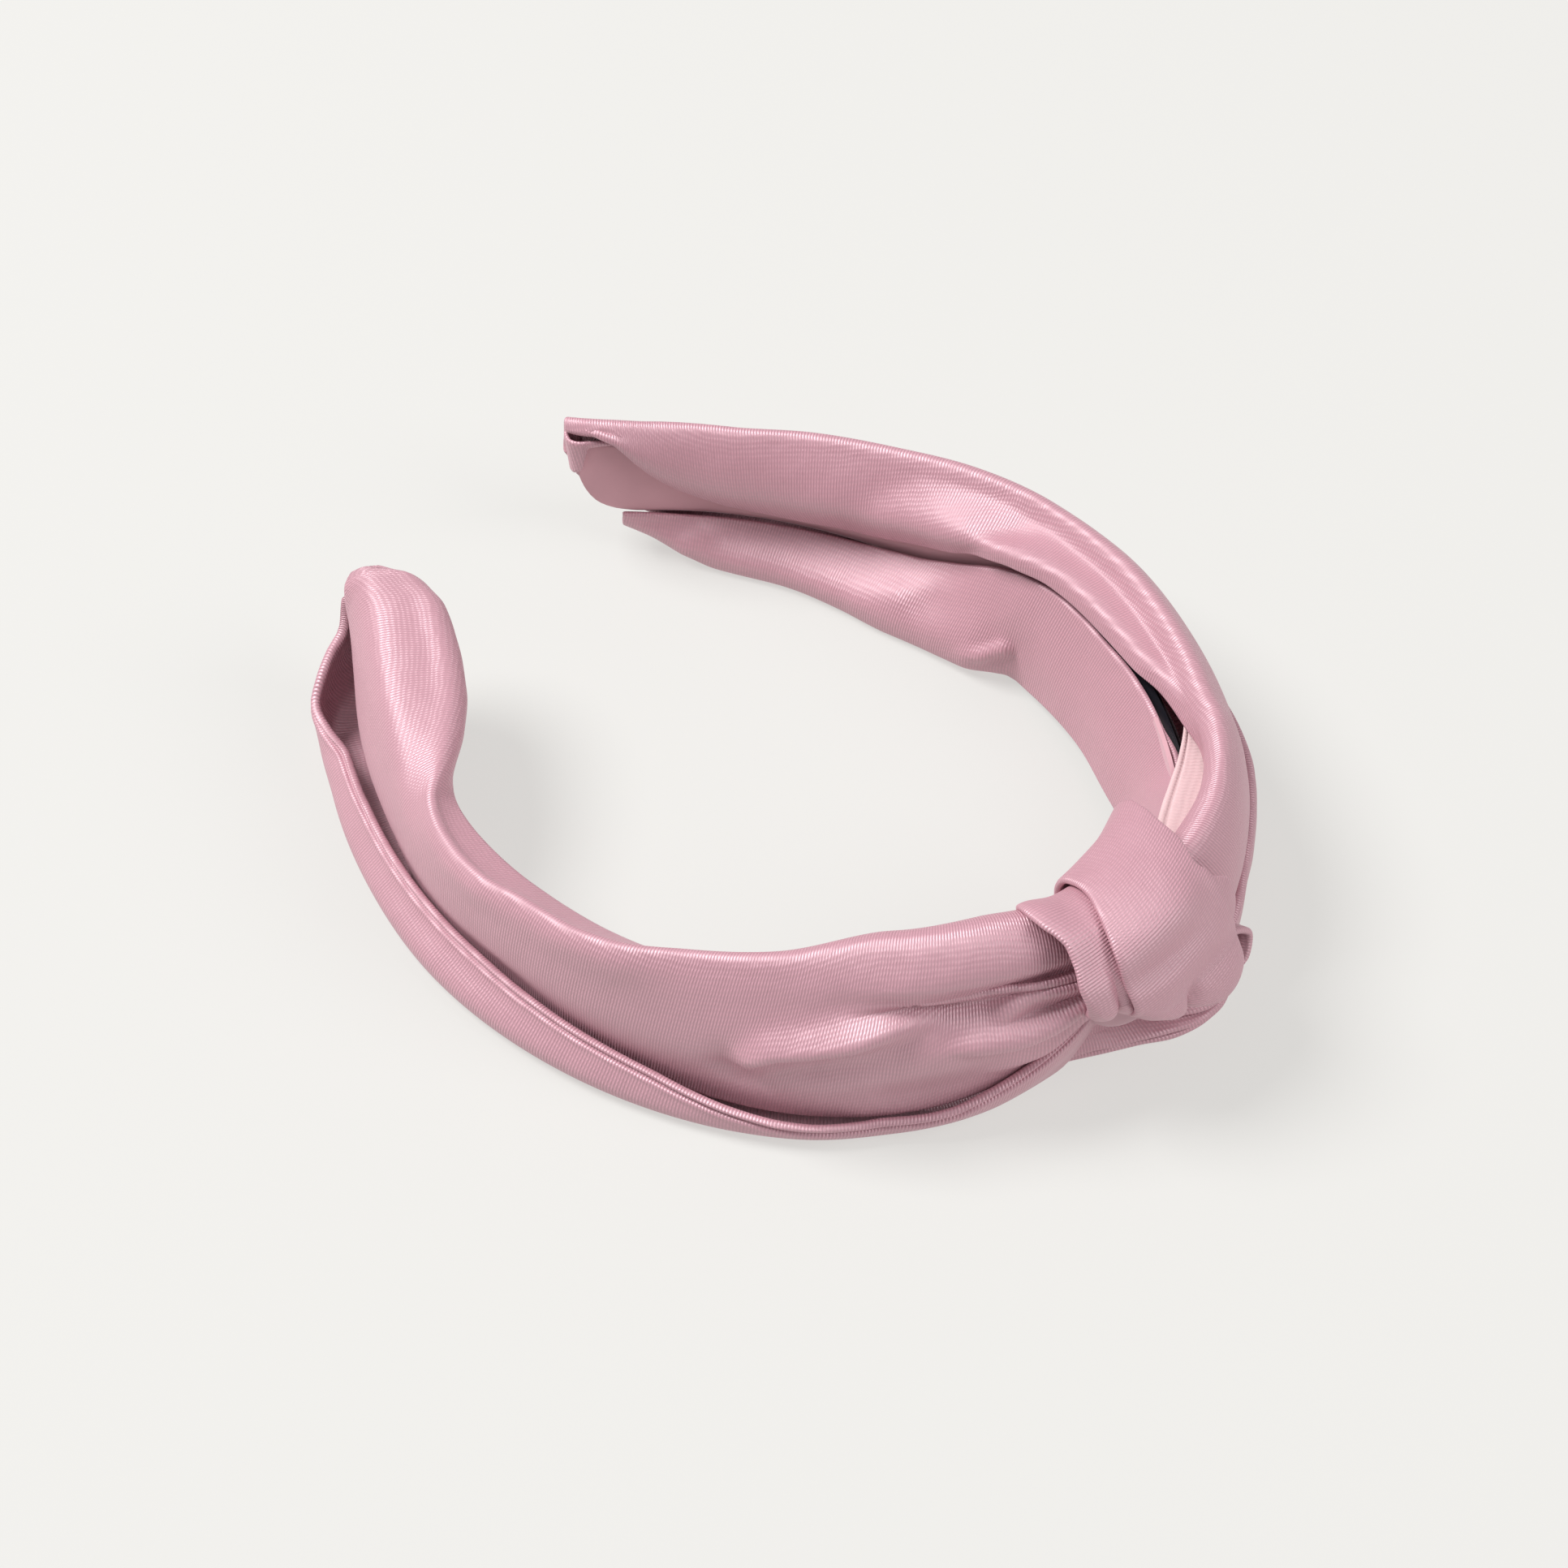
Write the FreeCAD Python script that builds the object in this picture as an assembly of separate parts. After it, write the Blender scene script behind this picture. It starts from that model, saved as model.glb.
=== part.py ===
import FreeCAD, Part
import math
import os

# Knotted headband lying on its lower edge. The band follows a plan path of two
# tangent arcs a side: a tight crown arc and a wide arm arc. "station" is the
# distance along the path from the middle of the crown, minus to the left (-X)
# and plus to the right (+X). "reach" is the distance outward from the path and
# "height" is Z above the surface the band lies on. All sizes are millimetres.

V = FreeCAD.Vector

# ---- path ----
CROWN_RADIUS = 49.0
CROWN_HALF_ANGLE = 49.0
ARM_RADIUS = 94.0
CROWN_CENTRE_Y = -22.0
CORE_HALF_LENGTH = 190.0
FLEX_STATION = 75.0          # where each arm's bending is gathered into one hinge

# ---- springy core bar ----
BAND_MID_HEIGHT = 18.0
CORE_THICKNESS = 1.8
CORE_HEIGHT = 14.0
JOINT_GAP_ROOT = 0.2         # crown side of the flex line
JOINT_GAP_ARM = 0.6          # arm side of the flex line
ROUNDING_DEPTH = 6.0         # reach of the tool that rounds a strip's tip

# ---- ribbon that binds the core, and the suede lining glued to its inner face ----
BINDING_THICKNESS = 0.4
BINDING_REACH = CORE_THICKNESS / 2 + BINDING_THICKNESS
BINDING_END = 54.0           # the ribbon covers only the crown, under and beside the knot
LINING_THICKNESS = 0.8
LINING_HEIGHT = 17.0
LINING_CLEARANCE = 0.05
LINING_CROWN_END = 54.0      # the core is bare from here to where the arm's lining starts
LINING_ARM_START = 100.0
LINING_END = 188.0

# ---- felt wadding between the core and the satin ----
WADDING_INNER = 1.5
WADDING_OUTER = 3.6
WADDING_HEIGHT = 16.0
WADDING_START = 25.0
WADDING_END = 184.0

# ---- satin shell ----
SATIN_THICKNESS = 1.5        # two layers of satin and their interfacing
OPENING_ANGLE = 21.0         # the arms open this far, with 1 degree to spare
CLOSING_ANGLE = 5.0

# Sections of the satin shell, from knot to tip: station, ridge reach and height,
# reach of the outer face at half height, reach of the foot on the surface, reach
# and height of the upper lip, reach of the lower flap's toe.
LEFT_SATIN = [
    (14.0, -4.5, 41.0, 8.0, 5.5, -12.5, 23.0, -12.0),
    (34.0, -6.0, 41.0, 9.0, 8.0, -14.0, 23.0, -10.0),
    (56.0, -3.0, 38.5, 10.5, 11.0, -11.0, 23.0, -8.0),
    (80.0, 1.5, 36.5, 11.0, 13.0, -8.0, 22.0, -6.5),
    (108.0, 3.5, 36.0, 10.5, 14.0, -6.5, 22.0, -6.0),
    (135.0, 2.5, 36.0, 10.5, 13.5, -7.0, 22.0, -6.0),
    (160.0, -4.0, 36.0, 10.0, 13.0, -13.0, 22.0, -8.0),
    (180.0, -4.0, 35.5, 10.0, 13.0, -12.5, 22.0, -7.0),
    (191.0, -2.0, 34.5, 9.0, 11.0, -9.5, 22.0, -6.0),
]
RIGHT_SATIN = [
    (23.0, 2.0, 40.0, 14.0, 11.0, -8.0, 24.0, -7.0),
    (42.0, 3.0, 38.0, 16.0, 16.0, -8.0, 25.0, -8.0),
    (60.0, 5.0, 37.0, 16.5, 18.0, -7.5, 25.0, -8.0),
    (82.0, 5.5, 36.5, 14.0, 14.0, -7.0, 24.0, -9.0),
    (102.0, 5.0, 36.5, 12.0, 11.0, -8.0, 23.0, -11.0),
    (124.0, 2.5, 36.5, 10.5, 9.0, -9.0, 21.0, -13.0),
    (146.0, 0.5, 36.5, 10.0, 8.5, -11.0, 20.0, -12.0),
    (168.0, -0.5, 36.5, 10.0, 8.5, -10.0, 20.0, -8.0),
    (191.0, -0.5, 35.5, 9.0, 8.0, -8.5, 21.0, -6.0),
]
TIP_FOLD_LENGTH = 4.5
TIP_FOLD_GAP = 0.2
TIP_FOLD_SHRINK = 0.72

# ---- knot: rings of satin around the gathered heart ----
KNOT_HEIGHT = 22.6
KNOT_REACH = 0.8
HEART_HALF_WIDTH = 9.2
HEART_HALF_HEIGHT = 13.6
RING_CLEARANCE = 0.2
HEART_START = -13.0
HEART_END = 22.2
# ring: first station, last station, half width and half height in the middle,
# how much narrower the ring is at its two edges
SIDE_WRAP = (-13.0, -4.3, 12.0, 16.4, 0.9)
MAIN_WRAP = (-4.1, 16.0, 14.6, 17.8, 1.6)
BACK_BAND = (16.2, 22.2, 12.2, 15.8, 0.8)
LOOP_STATION = 19.4
LOOP_HEIGHT = 13.0
LOOP_SIZE = (5.0, 7.5)       # half width along the band, half height
LOOP_PROUD = 4.0
TAIL_THICKNESS = 4.2
TAIL_OUTLINE = [(-12.5, -5.0), (-9.0, 2.5), (0.0, 6.5), (10.0, 12.3), (19.0, 13.0), (22.0, 5.0)]
TAIL_TOE = -7.0

CORE_SLOT_MARGIN = 0.15      # room around the bound core inside the heart


def mirror_sign(side):
    return -1.0 if side == "left" else 1.0


def place(station):
    """Point on the path, outward normal and forward tangent (towards +station)."""
    side = -1.0 if station < 0 else 1.0
    run = abs(station)
    half_angle = math.radians(CROWN_HALF_ANGLE)
    crown_run = CROWN_RADIUS * half_angle
    if run <= crown_run:
        angle = run / CROWN_RADIUS
        centre = V(0, CROWN_CENTRE_Y, 0)
        radius = CROWN_RADIUS
    else:
        angle = half_angle + (run - crown_run) / ARM_RADIUS
        offset = CROWN_RADIUS - ARM_RADIUS
        centre = V(offset * math.sin(half_angle), CROWN_CENTRE_Y - offset * math.cos(half_angle), 0)
        radius = ARM_RADIUS
    normal = V(math.sin(angle), -math.cos(angle), 0)
    point = centre + normal * radius
    tangent = V(math.cos(angle), math.sin(angle), 0)
    return (
        V(side * point.x, point.y, 0),
        V(side * normal.x, normal.y, 0),
        V(tangent.x, side * tangent.y, 0),
    )


def at(station, reach, height):
    point, normal, _ = place(station)
    return point + normal * reach + V(0, 0, height)


def plan_edges(start, stop, reach):
    """Arcs along the path at one reach, broken where the two radii meet."""
    crown_run = CROWN_RADIUS * math.radians(CROWN_HALF_ANGLE)
    breaks = [start] + [s for s in (-crown_run, crown_run) if start < s < stop] + [stop]
    edges = []
    for first, last in zip(breaks, breaks[1:]):
        middle = (first + last) / 2
        edges.append(Part.Arc(at(first, reach, 0), at(middle, reach, 0), at(last, reach, 0)).toShape())
    return edges


def strip(start, stop, inner, outer, low, high):
    """Straight-walled band along the path."""
    inside = plan_edges(start, stop, inner)
    outside = plan_edges(start, stop, outer)
    caps = [
        Part.makeLine(at(start, inner, 0), at(start, outer, 0)),
        Part.makeLine(at(stop, inner, 0), at(stop, outer, 0)),
    ]
    face = Part.Face(Part.Wire(Part.__sortEdges__(inside + outside + caps)))
    face.translate(V(0, 0, low))
    return face.extrude(V(0, 0, high - low))


def local_prism(station, outline, low, high):
    """Prism over an outline of (along, reach) points in the plan frame at a station."""
    point, normal, tangent = place(station)
    forward = tangent * (-1.0 if station < 0 else 1.0)
    corners = [point + forward * along + normal * reach + V(0, 0, low) for along, reach in outline]
    face = Part.Face(Part.makePolygon(corners + corners[:1]))
    return face.extrude(V(0, 0, high - low))


def round_end(solid, side, end, radius, depth):
    """Rounds the tip of a strip to a half circle seen from inside the band."""
    station = mirror_sign(side) * (end - radius)
    point, normal, tangent = place(station)
    centre = point + V(0, 0, BAND_MID_HEIGHT) - normal * depth
    corner = local_prism(station, [(0, -depth), (2 * radius, -depth), (2 * radius, depth), (0, depth)],
                         BAND_MID_HEIGHT - 2 * radius, BAND_MID_HEIGHT + 2 * radius)
    return solid.cut(corner.cut(Part.makeCylinder(radius, 2 * depth, centre, normal)))


def sided(side, near, far, inner, outer, low, high):
    """Strip between two distances from the crown's middle, on one side."""
    if side == "left":
        return strip(-far, -near, inner, outer, low, high)
    return strip(near, far, inner, outer, low, high)


# ---- core, binding and lining ----
def core_solids():
    low = BAND_MID_HEIGHT - CORE_HEIGHT / 2
    high = BAND_MID_HEIGHT + CORE_HEIGHT / 2
    half = CORE_THICKNESS / 2
    root_end = FLEX_STATION - JOINT_GAP_ROOT
    arm_start = FLEX_STATION + JOINT_GAP_ARM
    solids = {"core_crown": strip(-root_end, root_end, -half, half, low, high)}
    for side in ("left", "right"):
        arm = sided(side, arm_start, CORE_HALF_LENGTH, -half, half, low, high)
        solids["core_" + side] = round_end(
            arm, side, CORE_HALF_LENGTH, CORE_HEIGHT / 2, ROUNDING_DEPTH)
    return solids


def binding():
    """Ribbon wound around the core under the knot: a thin tube that the core fills."""
    grow = BINDING_THICKNESS
    low = BAND_MID_HEIGHT - CORE_HEIGHT / 2
    high = BAND_MID_HEIGHT + CORE_HEIGHT / 2
    half = CORE_THICKNESS / 2
    outer = strip(-BINDING_END, BINDING_END, -half - grow, half + grow, low - grow, high + grow)
    return outer.cut(strip(-BINDING_END, BINDING_END, -half, half, low, high))


def lining_solids():
    outer = -BINDING_REACH - LINING_CLEARANCE
    inner = outer - LINING_THICKNESS
    low = BAND_MID_HEIGHT - LINING_HEIGHT / 2
    high = BAND_MID_HEIGHT + LINING_HEIGHT / 2
    solids = {"lining_crown": strip(-LINING_CROWN_END, LINING_CROWN_END, inner, outer, low, high)}
    for side in ("left", "right"):
        arm = sided(side, LINING_ARM_START, LINING_END, inner, outer, low, high)
        solids["lining_" + side] = round_end(arm, side, LINING_END, LINING_HEIGHT / 2, ROUNDING_DEPTH)
    return solids


def wadding_solids():
    """Felt strips that back the satin, one each side of the knot and one in each arm."""
    low = BAND_MID_HEIGHT - WADDING_HEIGHT / 2
    high = BAND_MID_HEIGHT + WADDING_HEIGHT / 2
    opening = math.tan(math.radians(OPENING_ANGLE))
    arm_start = FLEX_STATION + JOINT_GAP_ARM + WADDING_OUTER * opening
    root_end = FLEX_STATION - JOINT_GAP_ROOT
    solids = {}
    for side in ("left", "right"):
        for part, near, far in (("_root", WADDING_START, root_end), ("_arm", arm_start, WADDING_END)):
            solids["wadding_" + side + part] = sided(
                side, near, far, WADDING_INNER, WADDING_OUTER, low, high)
    return solids


# ---- satin ----
def shell_profile(section):
    """Poles of the C-shaped section's outer line, as (reach, height), lip to toe."""
    _, ridge, top, middle, foot, lip, lip_height, toe = section
    return [
        (lip, lip_height),
        (lip + (ridge - lip) * 0.2 - 0.5, top - 2.5),
        (ridge, top),
        ((ridge + middle) / 2 + 2.5, top - 4.5),
        (middle, 16.0),
        (foot, 5.0),
        (foot - 1.0, 0.0),
        (foot - 4.0, 0.0),
        (toe + 5.0, 0.0),
        (toe + 2.0, 0.0),
        (toe, 5.0),
    ]


def inset(profile, depth):
    """The same line moved to its own inner side."""
    moved = []
    for index, (reach, height) in enumerate(profile):
        before = profile[max(index - 1, 0)]
        after = profile[min(index + 1, len(profile) - 1)]
        along = (after[0] - before[0], after[1] - before[1])
        size = math.hypot(*along)
        moved.append((reach + along[1] / size * depth, height - along[0] / size * depth))
    return moved


def spline_edge(points):
    curve = Part.BSplineCurve()
    curve.buildFromPoles(points)
    return curve.toShape()


def shell_wire(side, section, depth):
    sign = mirror_sign(side)
    outer = [at(sign * section[0], reach, height) for reach, height in shell_profile(section)]
    inner = [at(sign * section[0], reach, height)
             for reach, height in inset(shell_profile(section), depth)]
    return Part.Wire([
        spline_edge(outer),
        Part.makeLine(outer[-1], inner[-1]),
        spline_edge(inner[::-1]),
        Part.makeLine(inner[0], outer[0]),
    ])


def satin_side(side, sections):
    shell = Part.makeLoft([shell_wire(side, section, SATIN_THICKNESS) for section in sections], True)
    station = mirror_sign(side) * FLEX_STATION
    far = 60.0
    opening = math.tan(math.radians(OPENING_ANGLE))
    closing = math.tan(math.radians(CLOSING_ANGLE))
    root_region = [(-JOINT_GAP_ROOT, -far), (-JOINT_GAP_ROOT, far), (-4 * far, far), (-4 * far, -far)]
    arm_region = [
        (JOINT_GAP_ARM, 0.0),
        (JOINT_GAP_ARM + far * opening, far),
        (4 * far, far),
        (4 * far, -4 * far),
        (JOINT_GAP_ARM + 4 * far * closing, -4 * far),
    ]
    return {
        "satin_" + side + "_root": shell.common(local_prism(station, root_region, -1, 60)),
        "satin_" + side + "_arm": shell.common(local_prism(station, arm_region, -1, 60)),
    }


def tip_fold(side, section):
    """The satin's end, folded over behind the core's tip."""
    sign = mirror_sign(side)
    wires = []
    for along, shrink in ((TIP_FOLD_GAP, 1.0), (TIP_FOLD_LENGTH, TIP_FOLD_SHRINK)):
        points = []
        for reach, height in shell_profile(section):
            points.append((reach * shrink, BAND_MID_HEIGHT + (height - BAND_MID_HEIGHT) * shrink))
        points = [at(sign * (section[0] + along), reach, height) for reach, height in points]
        wires.append(Part.Wire([spline_edge(points), Part.makeLine(points[-1], points[0])]))
    return Part.makeLoft(wires, True)


# ---- knot ----
def ring_wire(station, half_width, half_height):
    point, normal, tangent = place(station)
    centre = point + normal * KNOT_REACH + V(0, 0, KNOT_HEIGHT)
    if half_height >= half_width:
        ellipse = Part.Ellipse(centre + V(0, 0, half_height), centre + normal * half_width, centre)
    else:
        ellipse = Part.Ellipse(centre + normal * half_width, centre + V(0, 0, half_height), centre)
    return Part.Wire(ellipse.toShape())


def tube(start, stop, half_width, half_height, waist):
    """Barrel around the band, narrower by waist at both ends."""
    middle = (start + stop) / 2
    return Part.makeLoft([
        ring_wire(start, half_width - waist, half_height - waist),
        ring_wire(middle, half_width, half_height),
        ring_wire(stop, half_width - waist, half_height - waist),
    ], True)


def ring(spec):
    start, stop, half_width, half_height, waist = spec
    bore = tube(start - 1, stop + 1, HEART_HALF_WIDTH + RING_CLEARANCE,
                HEART_HALF_HEIGHT + RING_CLEARANCE, 0.0)
    return tube(start, stop, half_width, half_height, waist).cut(bore)


def knot_heart():
    """Gathered satin inside the wraps, with the bound and lined core through it."""
    heart = tube(HEART_START, HEART_END, HEART_HALF_WIDTH, HEART_HALF_HEIGHT, 0.0)
    inner = -BINDING_REACH - LINING_CLEARANCE - LINING_THICKNESS - CORE_SLOT_MARGIN
    half = LINING_HEIGHT / 2 + CORE_SLOT_MARGIN
    slot = strip(HEART_START - 3, HEART_END + 3, inner, BINDING_REACH + CORE_SLOT_MARGIN,
                 BAND_MID_HEIGHT - half, BAND_MID_HEIGHT + half)
    return heart.cut(slot)


def knot_loop(band):
    """Small loop of satin that stands proud of the back band on the outside."""
    point, normal, tangent = place(LOOP_STATION)
    reach = KNOT_REACH + BACK_BAND[2] + LOOP_PROUD - LOOP_SIZE[1]
    centre = point + normal * reach + V(0, 0, LOOP_HEIGHT)
    ball = Part.makeSphere(LOOP_SIZE[1])
    ball.translate(centre)
    slab = strip(LOOP_STATION - LOOP_SIZE[0] / 2, LOOP_STATION + LOOP_SIZE[0] / 2, 0, 40, 0, 60)
    hollow = tube(BACK_BAND[0] - 2, BACK_BAND[1] + 2, BACK_BAND[2] + 0.15, BACK_BAND[3] + 0.15, 0.0)
    return ball.common(slab).cut(hollow)


def knot_tail():
    """Layered hems that come out under the knot and lie on the surface."""
    curve = spline_edge([at(s, r, 0) for s, r in TAIL_OUTLINE])
    first = at(TAIL_OUTLINE[0][0], TAIL_TOE, 0)
    last = at(TAIL_OUTLINE[-1][0], TAIL_TOE, 0)
    edges = [curve, Part.makeLine(at(*TAIL_OUTLINE[-1], 0), last), Part.makeLine(last, first),
             Part.makeLine(first, at(*TAIL_OUTLINE[0], 0))]
    return Part.Face(Part.Wire(edges)).extrude(V(0, 0, TAIL_THICKNESS))


def build():
    solids = {}
    solids.update(core_solids())
    solids["binding_crown"] = binding()
    solids.update(lining_solids())
    solids.update(wadding_solids())
    solids.update(satin_side("left", LEFT_SATIN))
    solids.update(satin_side("right", RIGHT_SATIN))
    solids["tip_fold_left"] = tip_fold("left", LEFT_SATIN[-1])
    solids["tip_fold_right"] = tip_fold("right", RIGHT_SATIN[-1])
    solids["knot_heart"] = knot_heart()
    solids["knot_side_wrap"] = ring(SIDE_WRAP)
    solids["knot_main_wrap"] = ring(MAIN_WRAP)
    solids["knot_back_band"] = ring(BACK_BAND)
    solids["knot_lower_loop"] = knot_loop(BACK_BAND)
    solids["knot_tail"] = knot_tail()
    return solids


os.makedirs("parts", exist_ok=True)
for name, shape in build().items():
    if len(shape.Solids) == 1:
        shape = shape.Solids[0]
    shape.exportStep("parts/" + name + ".step")
    box = shape.BoundBox
    print("%-18s solids %d valid %s volume %8.1f  x %6.1f %6.1f  y %6.1f %6.1f  z %5.1f %5.1f" % (
        name, len(shape.Solids), shape.isValid(), shape.Volume,
        box.XMin, box.XMax, box.YMin, box.YMax, box.ZMin, box.ZMax))
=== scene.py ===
"""A knotted satin headband lying flat on a pale floor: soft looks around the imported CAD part."""

import math

import bmesh
import bpy
import numpy as np
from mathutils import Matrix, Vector


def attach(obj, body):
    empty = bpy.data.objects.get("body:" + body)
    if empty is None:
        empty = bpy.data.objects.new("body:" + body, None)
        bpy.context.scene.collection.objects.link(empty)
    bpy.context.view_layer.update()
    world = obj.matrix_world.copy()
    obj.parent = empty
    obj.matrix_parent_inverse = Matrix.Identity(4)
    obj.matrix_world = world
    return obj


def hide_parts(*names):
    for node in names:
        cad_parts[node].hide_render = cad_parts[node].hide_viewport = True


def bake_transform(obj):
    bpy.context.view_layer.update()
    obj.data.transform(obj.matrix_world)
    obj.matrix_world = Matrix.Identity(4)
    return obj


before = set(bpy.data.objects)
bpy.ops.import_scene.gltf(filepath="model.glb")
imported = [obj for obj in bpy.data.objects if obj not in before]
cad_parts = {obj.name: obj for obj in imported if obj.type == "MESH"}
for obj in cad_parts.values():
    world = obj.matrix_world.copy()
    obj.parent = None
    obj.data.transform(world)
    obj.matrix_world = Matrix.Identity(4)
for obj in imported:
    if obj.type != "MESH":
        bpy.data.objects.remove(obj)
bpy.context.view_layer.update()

MM = 0.001
TAU = 2 * math.pi

# ---- centre line of the band (mm): a tight crown arc and two gentle arms ----
CROWN_RADIUS = 49.0
CROWN_HALF_ANGLE = math.radians(49.0)
ARM_RADIUS = 94.0
CROWN_CENTRE_Y = -22.0
CROWN_HALF_LENGTH = CROWN_RADIUS * CROWN_HALF_ANGLE

FLEX_START, FLEX_END = 50.0, 100.0   # stations of the arm's flex; arm_blend works out points there but nothing bends the cloth with them
CORE_HEIGHT = 18.0            # height of the core's middle
ROW_STEP = 1.0                # spacing of the rows along the band
CLOTH = 1.3                   # two layers of satin
SATIN_COLOUR = (0.53, 0.262, 0.318)
LINING_COLOUR = (0.60, 0.345, 0.385)
RIBBON_COLOUR = (0.72, 0.50, 0.51)
THREAD_COLOUR = (0.46, 0.21, 0.27)


def path(s):
    """Centre point and outward normal at signed station s (mm from the middle of the crown)."""
    s = np.asarray(s, float)
    side = np.where(s < 0, -1.0, 1.0)
    far = np.abs(s)
    on_crown = far <= CROWN_HALF_LENGTH
    turn = np.where(on_crown, far / CROWN_RADIUS,
                    CROWN_HALF_ANGLE + (far - CROWN_HALF_LENGTH) / ARM_RADIUS)
    shift = CROWN_RADIUS - ARM_RADIUS
    centre_x = np.where(on_crown, 0.0, shift * math.sin(CROWN_HALF_ANGLE))
    centre_y = np.where(on_crown, CROWN_CENTRE_Y,
                        CROWN_CENTRE_Y - shift * math.cos(CROWN_HALF_ANGLE))
    radius = np.where(on_crown, CROWN_RADIUS, ARM_RADIUS)
    x = side * (centre_x + radius * np.sin(turn))
    y = centre_y - radius * np.cos(turn)
    return x, y, side * np.sin(turn), -np.cos(turn)


def place(s, r, z):
    """World points (mm) for station, outward reach and height."""
    s, r, z = np.broadcast_arrays(np.asarray(s, float), np.asarray(r, float), np.asarray(z, float))
    x, y, nx, ny = path(s)
    return np.stack([x + nx * r, y + ny * r, z], axis=-1)


def smooth(keys, x):
    """Values on a smooth curve through keys (x, value, ...) that doesn't overshoot them."""
    keys = np.array(sorted(keys), float)
    t, v = keys[:, 0], keys[:, 1:]
    step = np.diff(t)[:, None]
    slope = np.diff(v, axis=0) / step
    tangent = np.zeros_like(v)
    tangent[0], tangent[-1] = slope[0], slope[-1]
    if len(t) > 2:
        a, b = slope[:-1], slope[1:]
        wa, wb = 2 * step[1:] + step[:-1], step[1:] + 2 * step[:-1]
        turning = a * b <= 0
        safe_a, safe_b = np.where(turning, 1, a), np.where(turning, 1, b)
        tangent[1:-1] = np.where(turning, 0, (wa + wb) / (wa / safe_a + wb / safe_b))
    x = np.clip(np.asarray(x, float), t[0], t[-1])
    i = np.clip(np.searchsorted(t, x, side="right") - 1, 0, len(t) - 2)
    h = step[i]
    u = ((x - t[i]) / h[..., 0])[..., None]
    return ((2 * u**3 - 3 * u**2 + 1) * v[i] + (u**3 - 2 * u**2 + u) * h * tangent[i]
            + (3 * u**2 - 2 * u**3) * v[i + 1] + (u**3 - u**2) * h * tangent[i + 1])


def section_curve(corners, per_span):
    """Smooth curves through each row's corner points: (rows, corners, 3) to (rows, samples, 3)."""
    gaps = np.linalg.norm(np.diff(corners, axis=1), axis=2)
    gaps = np.maximum(gaps, 0.2) ** 0.7
    knots = np.concatenate([np.zeros((len(corners), 1)), np.cumsum(gaps, axis=1)], axis=1)
    slope = np.diff(corners, axis=1) / gaps[..., None]
    tangent = np.empty_like(corners)
    tangent[:, 0], tangent[:, -1] = slope[:, 0], slope[:, -1]
    a, b = gaps[:, :-1, None], gaps[:, 1:, None]
    tangent[:, 1:-1] = (slope[:, :-1] * b + slope[:, 1:] * a) / (a + b)
    rows, position = [], []
    for k, n in enumerate(per_span):
        for u in np.arange(n) / n:
            h = gaps[:, k, None]
            rows.append((2 * u**3 - 3 * u**2 + 1) * corners[:, k]
                        + (u**3 - 2 * u**2 + u) * h * tangent[:, k]
                        + (3 * u**2 - 2 * u**3) * corners[:, k + 1]
                        + (u**3 - u**2) * h * tangent[:, k + 1])
            position.append(k + u)
    rows.append(corners[:, -1])
    position.append(len(per_span))
    return np.stack(rows, axis=1), np.array(position)


def edge_fade(distance, reach):
    """0 at an edge, rising like a quarter circle to 1 at reach."""
    t = np.clip(distance / reach, 0, 1)
    return np.sqrt(np.clip(1 - (1 - t) ** 2, 0, 1))


def grid_normals(points):
    along = np.gradient(points, axis=0)
    across = np.gradient(points, axis=1)
    n = np.cross(across, along)
    return n / np.maximum(np.linalg.norm(n, axis=2, keepdims=True), 1e-9)


def lengths(points, axis):
    """Running length along one grid direction."""
    step = np.linalg.norm(np.diff(points, axis=axis), axis=2)
    zero = np.zeros_like(np.take(step, [0], axis=axis))
    return np.concatenate([zero, np.cumsum(step, axis=axis)], axis=axis)


def near_line(grid, line, depth, width):
    """For each point of an (s, r, z) grid: distance to a line of (s, r, z) points, the depth and the
    width there, and whether the point lies above the line."""
    line = np.array(line, float)
    best = np.full(grid.shape[:2], 1e9)
    share = np.zeros(grid.shape[:2])
    above = np.zeros(grid.shape[:2], bool)
    run = np.concatenate([[0], np.cumsum(np.linalg.norm(np.diff(line, axis=0), axis=1))])
    for k in range(len(line) - 1):
        a, d = line[k], line[k + 1] - line[k]
        t = np.clip((grid - a) @ d / (d @ d), 0, 1)
        off = grid - a - t[..., None] * d
        gap = np.linalg.norm(off, axis=2)
        nearer = gap < best
        best = np.where(nearer, gap, best)
        share = np.where(nearer, (run[k] + t * (run[k + 1] - run[k])) / run[-1], share)
        above = np.where(nearer, off[..., 2] > 0, above)
    deep = np.interp(share, np.linspace(0, 1, len(depth)), depth)
    wide = np.interp(share, np.linspace(0, 1, len(width)), width)
    return best, deep, wide, above


def stroke(grid, line, depth, width):
    """A soft valley along a line."""
    gap, deep, wide, _ = near_line(grid, line, depth, width)
    return deep * np.exp(-(gap / wide) ** 2)


def crease(grid, line, depth, width, lift):
    """A fold: the cloth dips gently to the line, then a roll of cloth stands proud just below it."""
    gap, deep, wide, above = near_line(grid, line, depth, width)
    wall = np.exp(-(gap / 0.95) ** 2)
    roll = deep * wall - lift * deep * (1 - wall) * np.exp(-(gap / (1.2 * wide)) ** 2)
    return np.where(above, deep * np.exp(-(gap / (1.3 * wide)) ** 2), roll)


def soften(push, times):
    """Blur a push over its grid, so that a narrow fold has no steps."""
    for _ in range(times):
        p = np.pad(push, 1, mode="edge")
        push = (p[:-2, 1:-1] + 2 * p[1:-1, 1:-1] + p[2:, 1:-1]) / 4
        p = np.pad(push, 1, mode="edge")
        push = (p[1:-1, :-2] + 2 * p[1:-1, 1:-1] + p[1:-1, 2:]) / 4
    return push


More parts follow.
